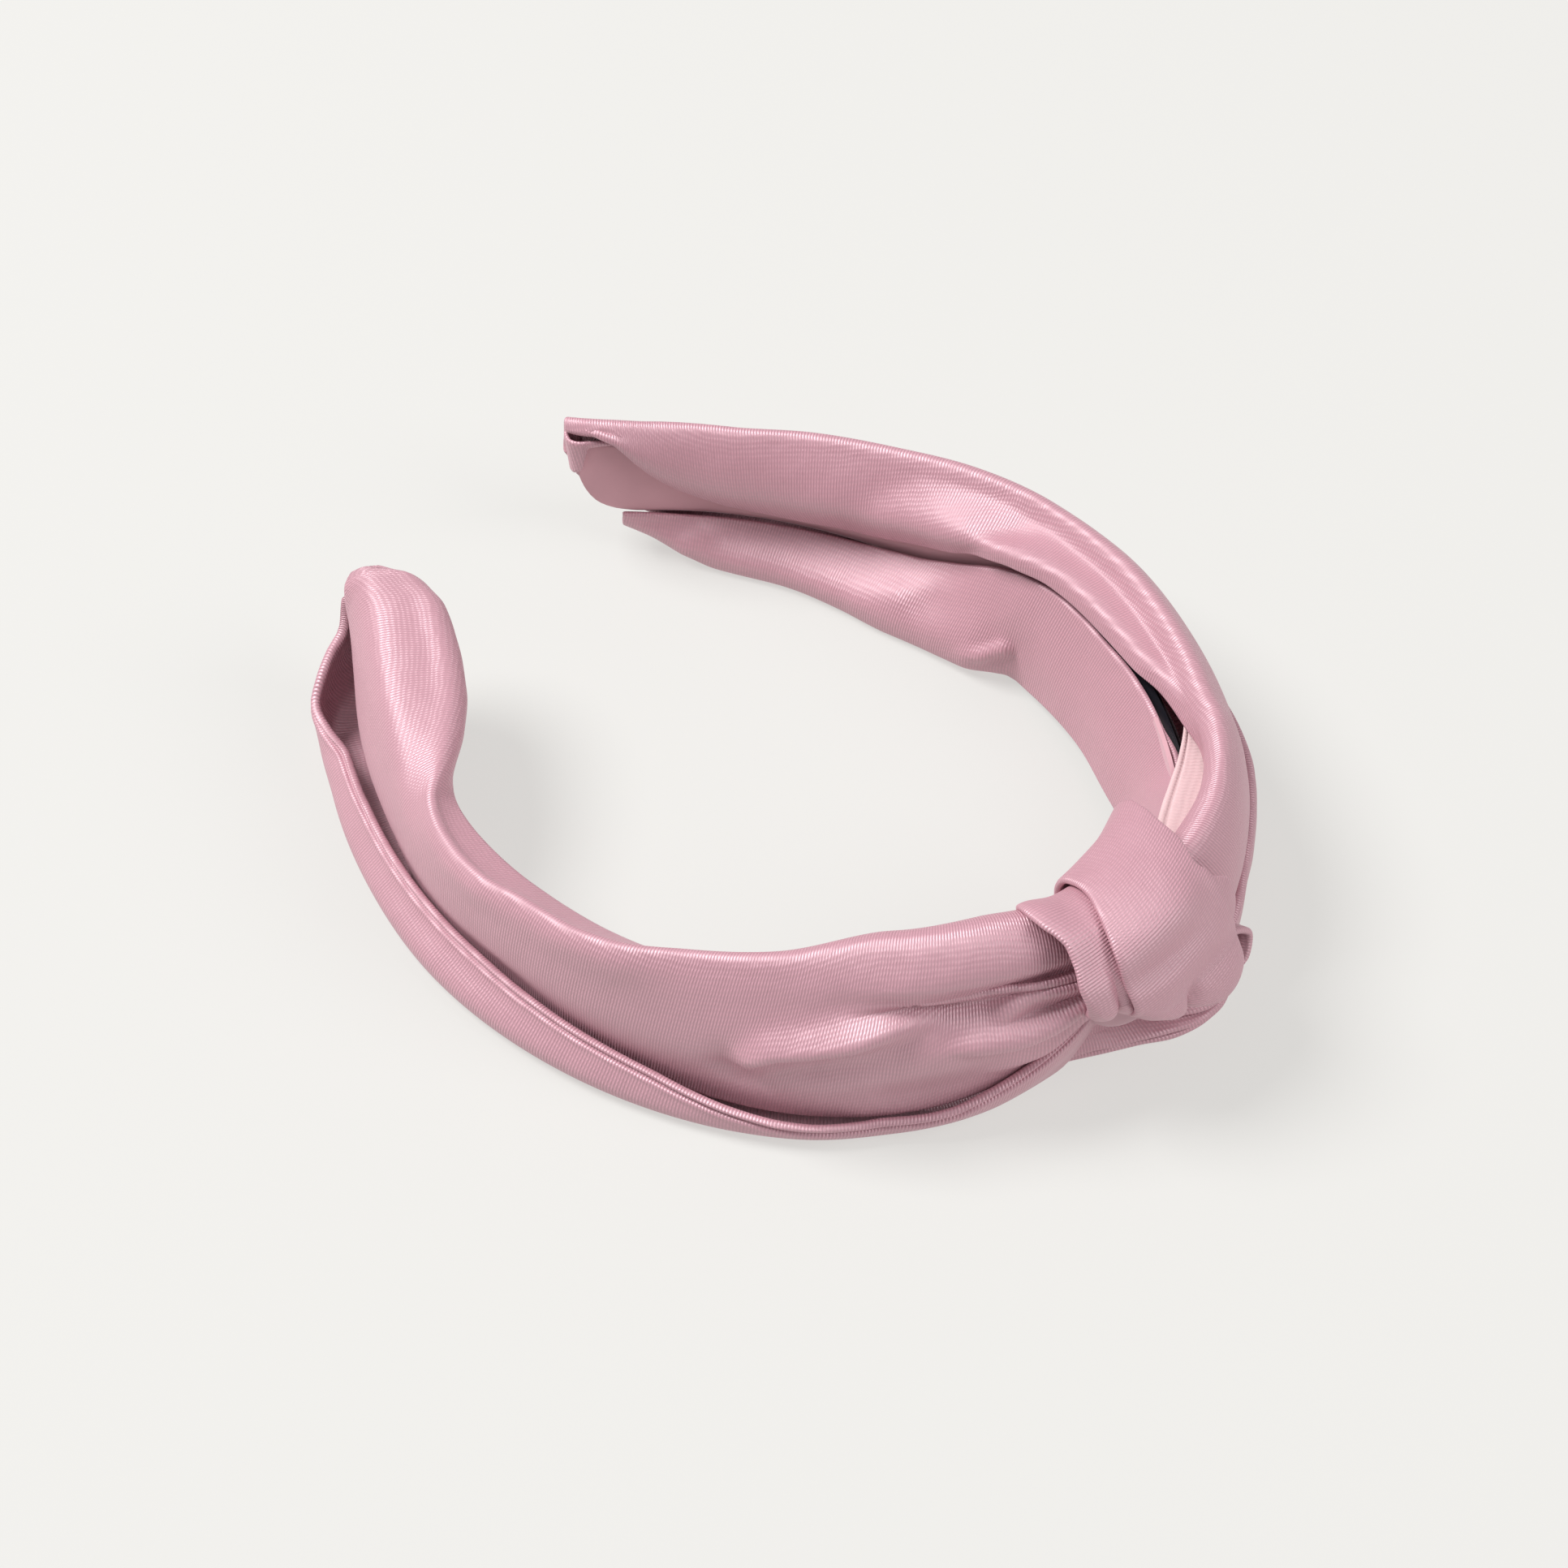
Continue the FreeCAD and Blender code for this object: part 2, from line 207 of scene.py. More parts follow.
def waves(s, t, pitch, seed):
    """Gentle seeded undulation over the sheet."""
    rng = np.random.default_rng(seed)
    total = np.zeros(np.broadcast(s, t).shape)
    for _ in range(7):
        angle, phase = rng.uniform(0, TAU), rng.uniform(0, TAU)
        scale = pitch * rng.uniform(0.7, 1.8)
        total += np.sin(TAU * (s * math.cos(angle) + t * math.sin(angle)) / scale + phase)
    return total / 7


# ---- materials ----
def new_material(name, colour, rough, weave_pitch=None, weave_depth=0.0, sheen=0.0, mottle=0.03,
                 specular=0.5, ior=1.5, metallic=0.0, tilt=0.0, rumple=0.0, tone=0.0):
    mat = bpy.data.materials.new(name)
    mat.use_nodes = True
    nodes, links = mat.node_tree.nodes, mat.node_tree.links
    shader = nodes["Principled BSDF"]
    shader.inputs["Base Color"].default_value = (*colour, 1)
    shader.inputs["Roughness"].default_value = rough
    shader.inputs["Specular IOR Level"].default_value = specular
    shader.inputs["Sheen Weight"].default_value = sheen
    shader.inputs["Sheen Roughness"].default_value = 0.4
    shader.inputs["Sheen Tint"].default_value = (1.0, 0.86, 0.9, 1)
    shader.inputs["IOR"].default_value = ior
    shader.inputs["Metallic"].default_value = metallic
    coords = nodes.new("ShaderNodeTexCoord")
    noise = nodes.new("ShaderNodeTexNoise")
    noise.inputs["Scale"].default_value = 90.0
    noise.inputs["Detail"].default_value = 4.0
    links.new(coords.outputs["Object"], noise.inputs["Vector"])
    ramp = nodes.new("ShaderNodeMapRange")
    ramp.inputs["To Min"].default_value = 1 - mottle
    ramp.inputs["To Max"].default_value = 1 + mottle
    links.new(noise.outputs["Fac"], ramp.inputs["Value"])
    shade = nodes.new("ShaderNodeVectorMath")
    shade.operation = "SCALE"
    shade.inputs[0].default_value = colour
    links.new(ramp.outputs["Result"], shade.inputs["Scale"])
    links.new(shade.outputs["Vector"], shader.inputs["Base Color"])
    if weave_pitch:
        turn = nodes.new("ShaderNodeMapping")
        turn.inputs["Rotation"].default_value = (0, 0, math.radians(tilt))
        links.new(coords.outputs["UV"], turn.inputs["Vector"])
        wave = nodes.new("ShaderNodeTexWave")
        wave.bands_direction = "X"
        wave.inputs["Scale"].default_value = TAU / (20 * weave_pitch * MM)
        wave.inputs["Distortion"].default_value = 0.6
        wave.inputs["Detail"].default_value = 1.0
        links.new(turn.outputs["Vector"], wave.inputs["Vector"])
        floats = nodes.new("ShaderNodeTexWave")      # breaks each twill line into short floats
        floats.bands_direction = "Y"
        floats.inputs["Scale"].default_value = TAU / (20 * 1.7 * weave_pitch * MM)
        floats.inputs["Distortion"].default_value = 2.5
        floats.inputs["Detail"].default_value = 1.0
        links.new(turn.outputs["Vector"], floats.inputs["Vector"])
        weave = nodes.new("ShaderNodeMath")
        weave.operation = "MULTIPLY_ADD"
        links.new(wave.outputs["Fac"], weave.inputs[0])
        links.new(floats.outputs["Fac"], weave.inputs[1])
        links.new(wave.outputs["Fac"], weave.inputs[2])
        bump = nodes.new("ShaderNodeBump")
        bump.inputs["Strength"].default_value = 1.0
        bump.inputs["Distance"].default_value = weave_depth * MM
        links.new(weave.outputs["Value"], bump.inputs["Height"])
        tint = nodes.new("ShaderNodeMapRange")
        tint.inputs["From Max"].default_value = 1.6
        tint.inputs["To Min"].default_value = 1 - tone
        tint.inputs["To Max"].default_value = 1 + tone
        links.new(weave.outputs["Value"], tint.inputs["Value"])
        both = nodes.new("ShaderNodeMath")
        both.operation = "MULTIPLY"
        links.new(tint.outputs["Result"], both.inputs[0])
        links.new(ramp.outputs["Result"], both.inputs[1])
        links.new(both.outputs["Value"], shade.inputs["Scale"])
        if rumple:
            soft = nodes.new("ShaderNodeTexNoise")
            soft.inputs["Scale"].default_value = 130.0
            soft.inputs["Detail"].default_value = 2.0
            links.new(coords.outputs["Object"], soft.inputs["Vector"])
            swell = nodes.new("ShaderNodeBump")
            swell.inputs["Strength"].default_value = 1.0
            swell.inputs["Distance"].default_value = rumple * MM
            links.new(soft.outputs["Fac"], swell.inputs["Height"])
            links.new(swell.outputs["Normal"], bump.inputs["Normal"])
        links.new(bump.outputs["Normal"], shader.inputs["Normal"])
    return mat


SATIN = new_material("satin", SATIN_COLOUR, 0.5, 0.56, 0.05, sheen=0.1, specular=1.0, ior=1.7,
                     metallic=0.12, tilt=8, rumple=0.4, tone=0.13)
LINING = new_material("lining", LINING_COLOUR, 0.9, None, 0, sheen=0.6, mottle=0.12, specular=0.2)
RIBBON = new_material("ribbon", RIBBON_COLOUR, 0.85, 0.8, 0.05, sheen=0.4, mottle=0.08,
                      specular=0.2)
THREAD = new_material("thread", THREAD_COLOUR, 0.6, mottle=0.0)
GLOSS_BLACK = new_material("core_black", (0.012, 0.012, 0.016), 0.22, mottle=0.0)
FELT = new_material("felt", (0.05, 0.03, 0.035), 0.95, sheen=0.2, mottle=0.1, specular=0.1)


# ---- meshes ----
def make_object(name, verts, faces, mat, uv=None):
    mesh = bpy.data.meshes.new(name)
    mesh.from_pydata([tuple(v) for v in np.asarray(verts) * MM], [], faces)
    if uv is not None:
        layer = mesh.uv_layers.new(name="weave")
        index = np.empty(len(mesh.loops), np.int32)
        mesh.loops.foreach_get("vertex_index", index)
        layer.data.foreach_set("uv", (uv[index] * MM).astype(np.float32).ravel())
    mesh.materials.append(mat)
    mesh.polygons.foreach_set("use_smooth", np.ones(len(mesh.polygons), bool))
    work = bmesh.new()
    work.from_mesh(mesh)
    bmesh.ops.recalc_face_normals(work, faces=work.faces)
    work.to_mesh(mesh)
    work.free()
    mesh.update()
    obj = bpy.data.objects.new(name, mesh)
    bpy.context.scene.collection.objects.link(obj)
    return obj


def thick_sheet(name, points, half, mat=None):
    """A closed sheet around a grid of points; half is half the thickness at each point.
    Every border is rounded to nothing, so the two faces meet there. Points too near the floor are
    lifted in place, so that stitches laid on them later lie on the same cloth."""
    rows, cols = points.shape[:2]
    u, v = lengths(points, 0), lengths(points, 1)
    half = half * edge_fade(np.minimum(v, v[:, -1:] - v), CLOTH * 0.5)
    half = half * edge_fade(np.minimum(u, u[-1:] - u), CLOTH * 0.5)
    points[..., 2] = np.maximum(points[..., 2], half)
    normal = grid_normals(points)
    front = points + normal * half[..., None]
    back = points - normal * half[..., None]
    number = np.arange(rows * cols).reshape(rows, cols)
    inner = np.zeros((rows, cols), bool)
    inner[1:-1, 1:-1] = True
    under = number.copy()
    under[inner] = rows * cols + np.arange(inner.sum())
    verts = np.concatenate([front.reshape(-1, 3), back[inner]])
    uv = np.stack([np.broadcast_to(u.mean(axis=1, keepdims=True), (rows, cols)), v], axis=-1)
    uvs = np.concatenate([uv.reshape(-1, 2), uv[inner]])
    faces = []
    for i in range(rows - 1):
        for j in range(cols - 1):
            faces.append((number[i, j], number[i + 1, j], number[i + 1, j + 1], number[i, j + 1]))
            faces.append((under[i, j], under[i, j + 1], under[i + 1, j + 1], under[i + 1, j]))
    faces = [tuple(dict.fromkeys(int(n) for n in f)) for f in faces]
    faces = [f for f in faces if len(f) > 2]
    return make_object(name, verts, faces, mat or SATIN, uvs)


def stations(first, last, step=ROW_STEP):
    """Rows from first to last, packed closer at both ends so the rounded ends are smooth."""
    close = np.array([0, 0.04, 0.14, 0.3, 0.5, 0.8, 1.2])
    count = max(int(abs(last - first) / step), 4)
    way = 1 if last > first else -1
    middle = np.linspace(first + way * 2.0, last - way * 2.0, count)
    return np.concatenate([first + way * close, middle, (last - way * close)[::-1]])


def loft(rows, lines, per_span):
    """Grid over feature lines; each line is a list of (s, r, z) keys along the band."""
    corners = []
    for keys in lines:
        r, z = smooth(keys, rows).T
        corners.append(np.stack([rows, r, z], axis=-1))
    return section_curve(np.stack(corners, axis=1), per_span)


def to_world(grid, push=None):
    """World points of an (s, r, z) grid, with an optional push along the normals."""
    points = place(grid[..., 0], grid[..., 1], grid[..., 2])
    if push is not None:
        points = points + grid_normals(points) * push[..., None]
    return points


def ridge_lines(keys):
    """Inner side, top and outer side of a rounded ridge from (s, centre r, centre z, radius, spread).
    Spread 0 is a round roll; spread 1 runs on level to the outside."""
    inner = [(s, r - q, z) for s, r, z, q, _ in keys]
    top = [(s, r, z + q) for s, r, z, q, _ in keys]
    outer = [(s, r + q * (1 + spread), z + q * spread * 1.05) for s, r, z, q, spread in keys]
    return inner, top, outer


def arm_blend(obj, side):
    """Bakes the piece's place into its mesh. It does not bend the piece with the arm's flex: the flex's
    start and end points are worked out but not used.
    """
    start = place(side * FLEX_START, 0.0, CORE_HEIGHT) * MM
    end = place(side * FLEX_END, 0.0, CORE_HEIGHT) * MM
    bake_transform(obj)


# ---- left arm, upper panel: inner lip, over the ridge, down the outside, tucked in ----
LEFT_RIDGE = [
    (-194.4, 1.0, 30.0, 0.8, 0.9), (-193.6, -1.5, 29.6, 1.2, 0.95), (-192, -5.0, 29.9, 1.5, 1),
    (-189, -7.6, 29.6, 1.6, 1), (-186, -9.4, 29.3, 1.7, 1), (-179, -10.9, 28.6, 1.8, 1),
    (-172, -11.5, 28.1, 1.8, 1), (-164, -11.0, 27.5, 1.8, 1), (-154, -8.0, 27.0, 1.8, 0.9),
    (-145, -2.6, 27.1, 1.6, 0.5), (-139, 1.9, 27.4, 1.3, 0), (-133, 3.9, 27.5, 1.3, 0),
    (-124.5, 5.3, 27.9, 1.3, 0), (-118.5, 5.6, 28.4, 1.3, 0), (-110, 4.8, 29.2, 1.4, 0),
    (-101, 4.9, 29.7, 1.4, 0), (-92, 4.1, 30.2, 1.5, 0), (-80, 0.9, 30.7, 1.8, 0),
    (-65, -1.6, 31.7, 2.8, 0), (-45, -5.4, 32.4, 5.4, 0), (-27, -5.4, 33.0, 6.2, 0),
    (-16.5, -4.6, 32.8, 5.8, 0), (-8, -4.0, 31.0, 5.5, 0),
]
LEFT_LIP = [
    (-194.4, 0.6, 28.8), (-192, -5.8, 27.2), (-189, -8.6, 26.4), (-184, -10.8, 25.4), (-172, -12.4, 24.2),
    (-164, -11.8, 23.8), (-154, -8.8, 23.4), (-145, -4.2, 23.8), (-136, -2.6, 24.6), (-130, -2.4, 24.7),
    (-100, -2.6, 24.6), (-80, -3.6, 24.2), (-60, -6, 24), (-40, -11, 24), (-8, -9.5, 24),
]
LEFT_UPPER = [
    (-194.4, 3.0, 30.6), (-192, 2.6, 30.9), (-189, 1.8, 30.8), (-184, 0.6, 30.2), (-176, 0.2, 29.5),
    (-164, 0.4, 28.4), (-154, 1.4, 26.8), (-145, 4.0, 24.4), (-137, 5.8, 23.0), (-125, 7.0, 23.0),
    (-112, 7.2, 23.2), (-95, 6.8, 23.6), (-80, 5.0, 25.0), (-68, 3.8, 26.8), (-58, 2.6, 28.2),
    (-49, 1.0, 28.8), (-42, -0.8, 28.8), (-33, -2.6, 28.8), (-25, -1.8, 29.2), (-12, 1.2, 29.0),
    (-8, 2.0, 28),
]
LEFT_LOWER = [
    (-194.4, 3.8, 30.2), (-192, 4.8, 29.4), (-189, 4.6, 26.6), (-184, 4.0, 24.2), (-176, 3.6, 22.4),
    (-164, 3.8, 20.8), (-154, 4.4, 19.4), (-140, 5.8, 16.8), (-125, 6.8, 16.0), (-100, 7.2, 16.0),
    (-80, 6.8, 16.5), (-65, 6.6, 18.4), (-56, 6.4, 19.8), (-49, 6.2, 20.6), (-42, 5.8, 21.0),
    (-33, 5.4, 21.6), (-25, 4.6, 22.6), (-12, 4.4, 23.4), (-8, 4, 23),
]
LEFT_FOOT = [
    (-194.4, 4.8, 29.4), (-192, 6.0, 27.4), (-190.5, 5.7, 23.5), (-189, 5.1, 20.4), (-184, 4.5, 17.6),
    (-179, 4.3, 16.2), (-168.5, 4.6, 13.6), (-160, 4.9, 12.6), (-151, 5.0, 11.6), (-140, 5.0, 10.6),
    (-118, 5.0, 10.4), (-99, 6.0, 10), (-83, 6.2, 9.5), (-70, 6.2, 9.4), (-57, 6.3, 9.4), (-49, 5.6, 9.6),
    (-44, 4.6, 9.8), (-37, 3.8, 10.8), (-30, 3.6, 12.4), (-21, 3.8, 14.2), (-16, 3.2, 17), (-8, 2.5, 19),
]
LEFT_TUCK = [
    (-194.4, 4.2, 28.8), (-192, 4.6, 26.0), (-189, 3.0, 18.0), (-177, 2.2, 12.0), (-160, 2.4, 8.0),
    (-150, 3.2, 6.0), (-138, 4.6, 4.0), (-99, 5.4, 4.0), (-70, 6.2, 3.5), (-49, 5.4, 4.0), (-30, 3.4, 7.0),
    (-16, 1.6, 12), (-8, 1.0, 15),
]


GATHERS = [                   # folds that fan out of the knot: (s, r, z) line, depths, widths, lift
    ([(-8, 1.9, 27.6), (-12, 1.4, 28.0), (-17, 0.2, 28.3), (-24, -1.2, 28.4), (-30, -1.9, 28.2),
      (-35, -2.2, 28.4), (-41, -1.0, 28.8), (-46, 0.3, 28.6), (-52, 1.8, 28.0)],
     [1.2, 1.4, 1.7, 2.3, 2.8, 2.6, 1.8, 0.9, 0], [1.4, 1.4, 1.6, 2.0, 2.6, 3.0, 3.2, 3.4, 3.4], 0.4),
    ([(-8, 2.9, 26.2), (-12.4, 2.7, 26.3), (-17, 2.0, 26.4), (-21, 1.6, 26.2), (-24, 1.9, 25.4),
      (-28, 3.0, 24.4)], [1.0, 1.4, 2.0, 2.8, 2.2, 0], [1.2, 1.3, 1.7, 2.4, 2.6, 2.6], 0.35),
    ([(-8, 4.0, 25.2), (-12.8, 4.2, 24.4), (-16.5, 4.5, 23.0), (-20.5, 4.8, 21.2), (-25, 5.0, 20.6),
      (-31, 5.3, 20.8), (-36, 5.6, 21.2)], [1.0, 1.4, 1.8, 2.4, 2.4, 1.4, 0],
     [1.2, 1.3, 1.7, 2.4, 2.8, 3.0, 3.0], 0.5),
    ([(-8, 4.3, 22.6), (-12, 3.9, 20.0), (-16, 3.4, 17.0), (-21, 3.6, 14.4), (-27, 4.4, 12.6)],
     [0.8, 1.0, 1.2, 1.0, 0.4], [1.0, 1.1, 1.4, 1.6, 1.8], 0.7),
    ([(-36, 1.2, 25.8), (-40.5, 2.4, 25.0), (-45.5, 3.9, 23.8), (-50, 5.0, 22.8), (-57, 5.7, 21.4),
      (-63, 6.2, 20.0), (-66.5, 6.7, 17.8), (-67, 7.0, 15.4)], [0, 0.9, 2.3, 2.6, 2.3, 2.4, 2.6, 1.0],
     [2.4, 2.6, 2.8, 3.0, 2.8, 2.6, 2.4, 1.8], 0.45),
]
SLOTS = [                     # narrow dark lines in the folds: (s, r, z) line and depths
    ([(-8, 2.0, 27.2), (-17, 0.3, 27.9), (-26, -1.2, 27.8), (-36, -1.6, 27.8)], [1.2, 1.4, 1.5, 0]),
    ([(-8, 2.9, 26.0), (-12.4, 2.7, 26.1), (-17, 2.2, 26.2), (-22, 2.0, 25.8)], [1.4, 1.4, 1.2, 0]),
    ([(-8, 4.0, 24.9), (-12.8, 4.2, 24.1), (-17, 4.5, 22.4), (-21, 4.8, 20.8)], [1.4, 1.4, 1.2, 0]),
    ([(-8, 4.2, 22.2), (-12, 3.9, 19.6), (-16, 3.6, 16.6), (-21, 3.8, 14.0)], [1.4, 1.4, 1.2, 0]),
    ([(-43, 3.0, 24.2), (-50, 5.0, 22.4), (-58, 5.9, 20.8), (-66, 6.7, 17.6)], [0, 1.0, 0.9, 0.8]),
]
SLOT_WIDTHS = [0.85, 0.85, 1.0, 1.2]
ROLLS = [                     # proud rolls between the folds: (s, r, z) line, heights, widths
    ([(-14, 3.4, 24.8), (-22, 3.6, 23.2), (-32, 3.8, 22.8), (-44, 5.6, 20.0), (-54, 6.6, 17.2),
      (-62, 7.0, 14.6), (-64.5, 7.2, 12.2)], [0.4, 0.7, 1.0, 1.5, 1.6, 1.8, 0.9],
     [1.3, 1.6, 2.6, 3.4, 3.2, 2.8, 2.2]),
    ([(-71, 6.4, 17.0), (-71.5, 6.8, 14.0), (-69, 7.2, 11.4)], [0.6, 1.2, 1.0], [2.6, 2.6, 2.4]),
]


def left_panel():
    rows = stations(-8, -194.4, 0.5)
    lines = [LEFT_LIP, *ridge_lines(LEFT_RIDGE), LEFT_UPPER, LEFT_LOWER, LEFT_FOOT, LEFT_TUCK]
    grid, at = loft(rows, lines, [12, 8, 12, 34, 34, 26, 12])
    s, z = grid[..., 0], grid[..., 2]
    outside = np.clip((at - 2.4) / 0.5, 0, 1)[None, :]
    push = np.zeros(s.shape)
    for line, depth, width, lift in GATHERS:
        push -= crease(grid, line, depth, width, lift) * outside
    for line, depth in SLOTS:
        push -= stroke(grid, line, depth, SLOT_WIDTHS) * outside
    for line, height, width in ROLLS:
        push += stroke(grid, line, height, width) * outside
    push = soften(push, 5) + waves(s, z * 1.4, 26.0, 3) * 0.35 * outside
    return thick_sheet("satin_left_panel", to_world(grid, push), np.full(s.shape, CLOTH / 2))


# ---- left arm, lower flap: stitched hem on the outside, under the floor edge, up inside ----
LEFT_HEM = [
    (-192.4, 6.6, 25.6), (-190.5, 6.9, 20.4), (-187.4, 9.4, 17.0), (-183.8, 11.4, 14.0),
    (-181, 12.6, 11.2), (-176, 10.6, 10.2), (-169.5, 7.6, 10), (-162, 7.2, 10), (-155, 6.9, 10.4),
    (-140, 6.8, 10.5), (-121, 6.8, 10.5), (-108, 7.4, 10.5), (-99, 7.8, 10), (-83.5, 8.4, 8.5),
    (-76, 9.3, 7.5), (-69, 9.9, 6.5), (-62.8, 9.9, 5.6), (-56.5, 9.2, 5.1), (-49, 7.6, 5),
    (-45.8, 7.0, 5.4), (-40, 6.6, 5.9), (-35, 6.5, 7.0), (-31, 5.9, 8.4), (-25, 5.0, 10.8),
    (-20, 4.7, 13.6), (-15, 4.5, 17.2), (-11, 4.2, 20.8), (-6, 3.6, 23),
]
LEFT_HEM_FOOT = [
    (-192.4, 6.4, 23.6), (-190.5, 7.3, 17.6), (-187.4, 9.8, 13.6), (-184, 11.8, 10.6), (-181, 12.7, 8.4),
    (-172, 10.6, 7.4), (-160, 9.2, 7.4), (-140, 8.6, 7.6), (-121, 8.6, 7.6), (-99, 9.6, 7.2),
    (-83, 10.1, 6.0), (-70, 10.4, 4.6), (-57, 9.6, 3.6), (-45, 6.9, 3.6), (-35, 6.4, 4.6), (-25, 5.2, 8.0),
    (-15, 4.7, 14.4), (-6, 3.4, 20.6),
]
LEFT_BELLY = [
    (-192.4, 5.8, 21.4), (-190.5, 6.8, 13.6), (-187.4, 9.4, 9.0), (-184, 11.4, 6.0), (-178, 11.8, 4.6),
    (-166, 11.0, 4.0), (-149, 11.1, 3.8), (-124, 11.6, 3.8), (-99, 11.5, 3.6), (-83, 11.1, 2.9),
    (-70, 10.5, 2.4), (-57, 9.2, 1.9), (-44, 6.5, 1.9), (-30, 4.2, 2.8), (-15, 2.6, 8), (-6, 1.6, 15),
]
LEFT_FLOOR = [
    (-192.4, 3.8, 20.0), (-190.5, 4.8, 11.0), (-187.4, 7.4, 5.4), (-184, 9.4, 2.4), (-179, 10.2, 0.9),
    (-166, 9.8, 0.68), (-149, 10.0, 0.68), (-124, 10.8, 0.68), (-99, 10.4, 0.68), (-75, 9.6, 0.68),
    (-57, 7.8, 0.68), (-44, 4.8, 0.68), (-30, 1.6, 0.68), (-15, -0.4, 1.5), (-6, -1, 8),
]
LEFT_UNDER = [
    (-192.4, 1.6, 19.4), (-190.8, 1.9, 10.4), (-187.4, 2.2, 3.8), (-184, 2.2, 1.3), (-179, 2.0, 0.68),
    (-60, 1.0, 0.68), (-30, -3.0, 0.68), (-15, -4, 1.5), (-6, -4, 8),
]
LEFT_TOE = [
    (-192.4, -0.2, 20.0), (-190.8, -1.6, 11.8), (-187.4, -3.8, 6.0), (-184, -5.2, 3.0), (-179, -6.4, 2.0),
    (-160, -8.0, 1.8), (-135, -6.8, 1.8), (-80, -6.8, 1.8), (-50, -8.5, 1.8), (-30, -9.6, 1.8),
    (-15, -10, 2.5), (-6, -9, 8),
]
LEFT_INNER_HEM = [
    (-192.4, -1.0, 22.0), (-190.8, -2.6, 16.4), (-187.4, -3.6, 11.4), (-184, -4.2, 9.6), (-179, -4.8, 9.0),
    (-160, -5.0, 9.0), (-135, -4.2, 9.0), (-80, -4.2, 9.0), (-50, -5.5, 9.2), (-30, -7.5, 9.6),
    (-15, -9, 10), (-6, -8, 12),
]
HEM_GROOVE = 1.35             # distance of the stitched groove from the hem edge
STITCH_PITCH = 2.1
STITCH_LENGTH = STITCH_PITCH * 0.62
STITCH_DEPTH = CLOTH / 2 - 0.36
STITCH_ROWS = (6, -8)         # first and last row of the flap that carry stitches
THREAD_WIDE, THREAD_HIGH = 0.2, 0.16


def hem_profile(from_hem):
    """Half thickness of a flap with a rolled, stitched hem: two soft rolls with a groove between."""
    half = np.full(from_hem.shape, CLOTH / 2)
    half += 0.26 * np.exp(-((from_hem - 0.65) / 0.42) ** 2)
    half += 0.24 * np.exp(-((from_hem - 2.1) / 0.42) ** 2)
    return half - 0.46 * np.exp(-((from_hem - HEM_GROOVE) / 0.22) ** 2)


def left_flap():
    rows = stations(-6, -192.4)
    lines = [LEFT_HEM, LEFT_HEM_FOOT, LEFT_BELLY, LEFT_FLOOR, LEFT_UNDER, LEFT_TOE, LEFT_INNER_HEM]
    grid, at = loft(rows, lines, [26, 14, 10, 12, 14, 12])
    s, z = grid[..., 0], grid[..., 2]
    outer = np.clip(2.6 - at, 0, 1)[None, :]
    push = -waves(s, at[None, :] * 8, 30.0, 11) * 0.25 * outer
    points = to_world(grid, push)
    from_hem = lengths(points, 1)
    obj = thick_sheet("satin_left_flap", points, hem_profile(from_hem))
    return obj, points, from_hem


def stitches(name, points, from_hem):
    """Short thread dashes in the hem's groove, as one mesh of small rounded bars."""
    normal = grid_normals(points)
    rows = np.arange(len(points))
    column = np.abs(from_hem - HEM_GROOVE).argmin(axis=1)
    line = points[rows, column] + normal[rows, column] * STITCH_DEPTH
    run = np.concatenate([[0], np.cumsum(np.linalg.norm(np.diff(line, axis=0), axis=1))])
    verts, faces = [], []
    for start in np.arange(run[STITCH_ROWS[0]], run[STITCH_ROWS[1]], STITCH_PITCH):
        ends = [np.array([np.interp(start + d, run, line[:, c]) for c in range(3)])
                for d in (0, STITCH_LENGTH)]
        axis = ends[1] - ends[0]
        length = np.linalg.norm(axis)
        if length < 0.2:
            continue
        axis /= length
        k = int(np.clip(np.searchsorted(run, start), 0, len(rows) - 1))
        up = normal[k, column[k]]
        wide = np.cross(axis, up)
        base = len(verts)
        shares = (0, 0.12, 0.5, 0.88, 1)
        sizes = (0.35, 0.85, 1, 0.85, 0.35)
        for share, size in zip(shares, sizes):
            for q in range(6):
                a = TAU * q / 6
                verts.append(ends[0] + axis * length * share
                             + (wide * math.cos(a) * THREAD_WIDE + up * math.sin(a) * THREAD_HIGH) * size)
        for ring_no in range(4):
            for q in range(6):
                a, b = base + ring_no * 6 + q, base + ring_no * 6 + (q + 1) % 6
                faces.append((a, b, b + 6, a + 6))
        faces.append(tuple(base + q for q in range(6))[::-1])
        faces.append(tuple(base + 24 + q for q in range(6)))
    return make_object(name, verts, faces, THREAD)


# ---- right arm, upper shell: inner hem, over the ridge, down the outside, tucked in ----
RIGHT_RIDGE = [
    (14, 1.4, 29.2, 4.0, 0), (22, 3.4, 30.4, 3.6, 0), (34, 5.6, 31.5, 2.6, 0), (46, 6.6, 31.3, 2.3, 0),
    (52, 6.1, 31.1, 2.3, 0), (60, 6.2, 30.6, 2.8, 0), (66.5, 6.4, 30.3, 3.1, 0), (83, 6.8, 30.3, 3.1, 0),
    (93, 6.4, 30.4, 3.0, 0), (102.5, 6.2, 30.3, 2.6, 0), (118, 4.0, 30.3, 2.3, 0),
    (133, 1.0, 30.6, 2.0, 0), (148, -1.3, 31.0, 1.6, 0), (163, -3.0, 31.0, 1.6, 0),
    (178.5, -2.9, 31.0, 1.5, 0), (186, -1.9, 31.0, 1.4, 0), (191, -0.6, 30.9, 1.3, 0),
    (194, 0.8, 30.8, 1.0, 0),
]
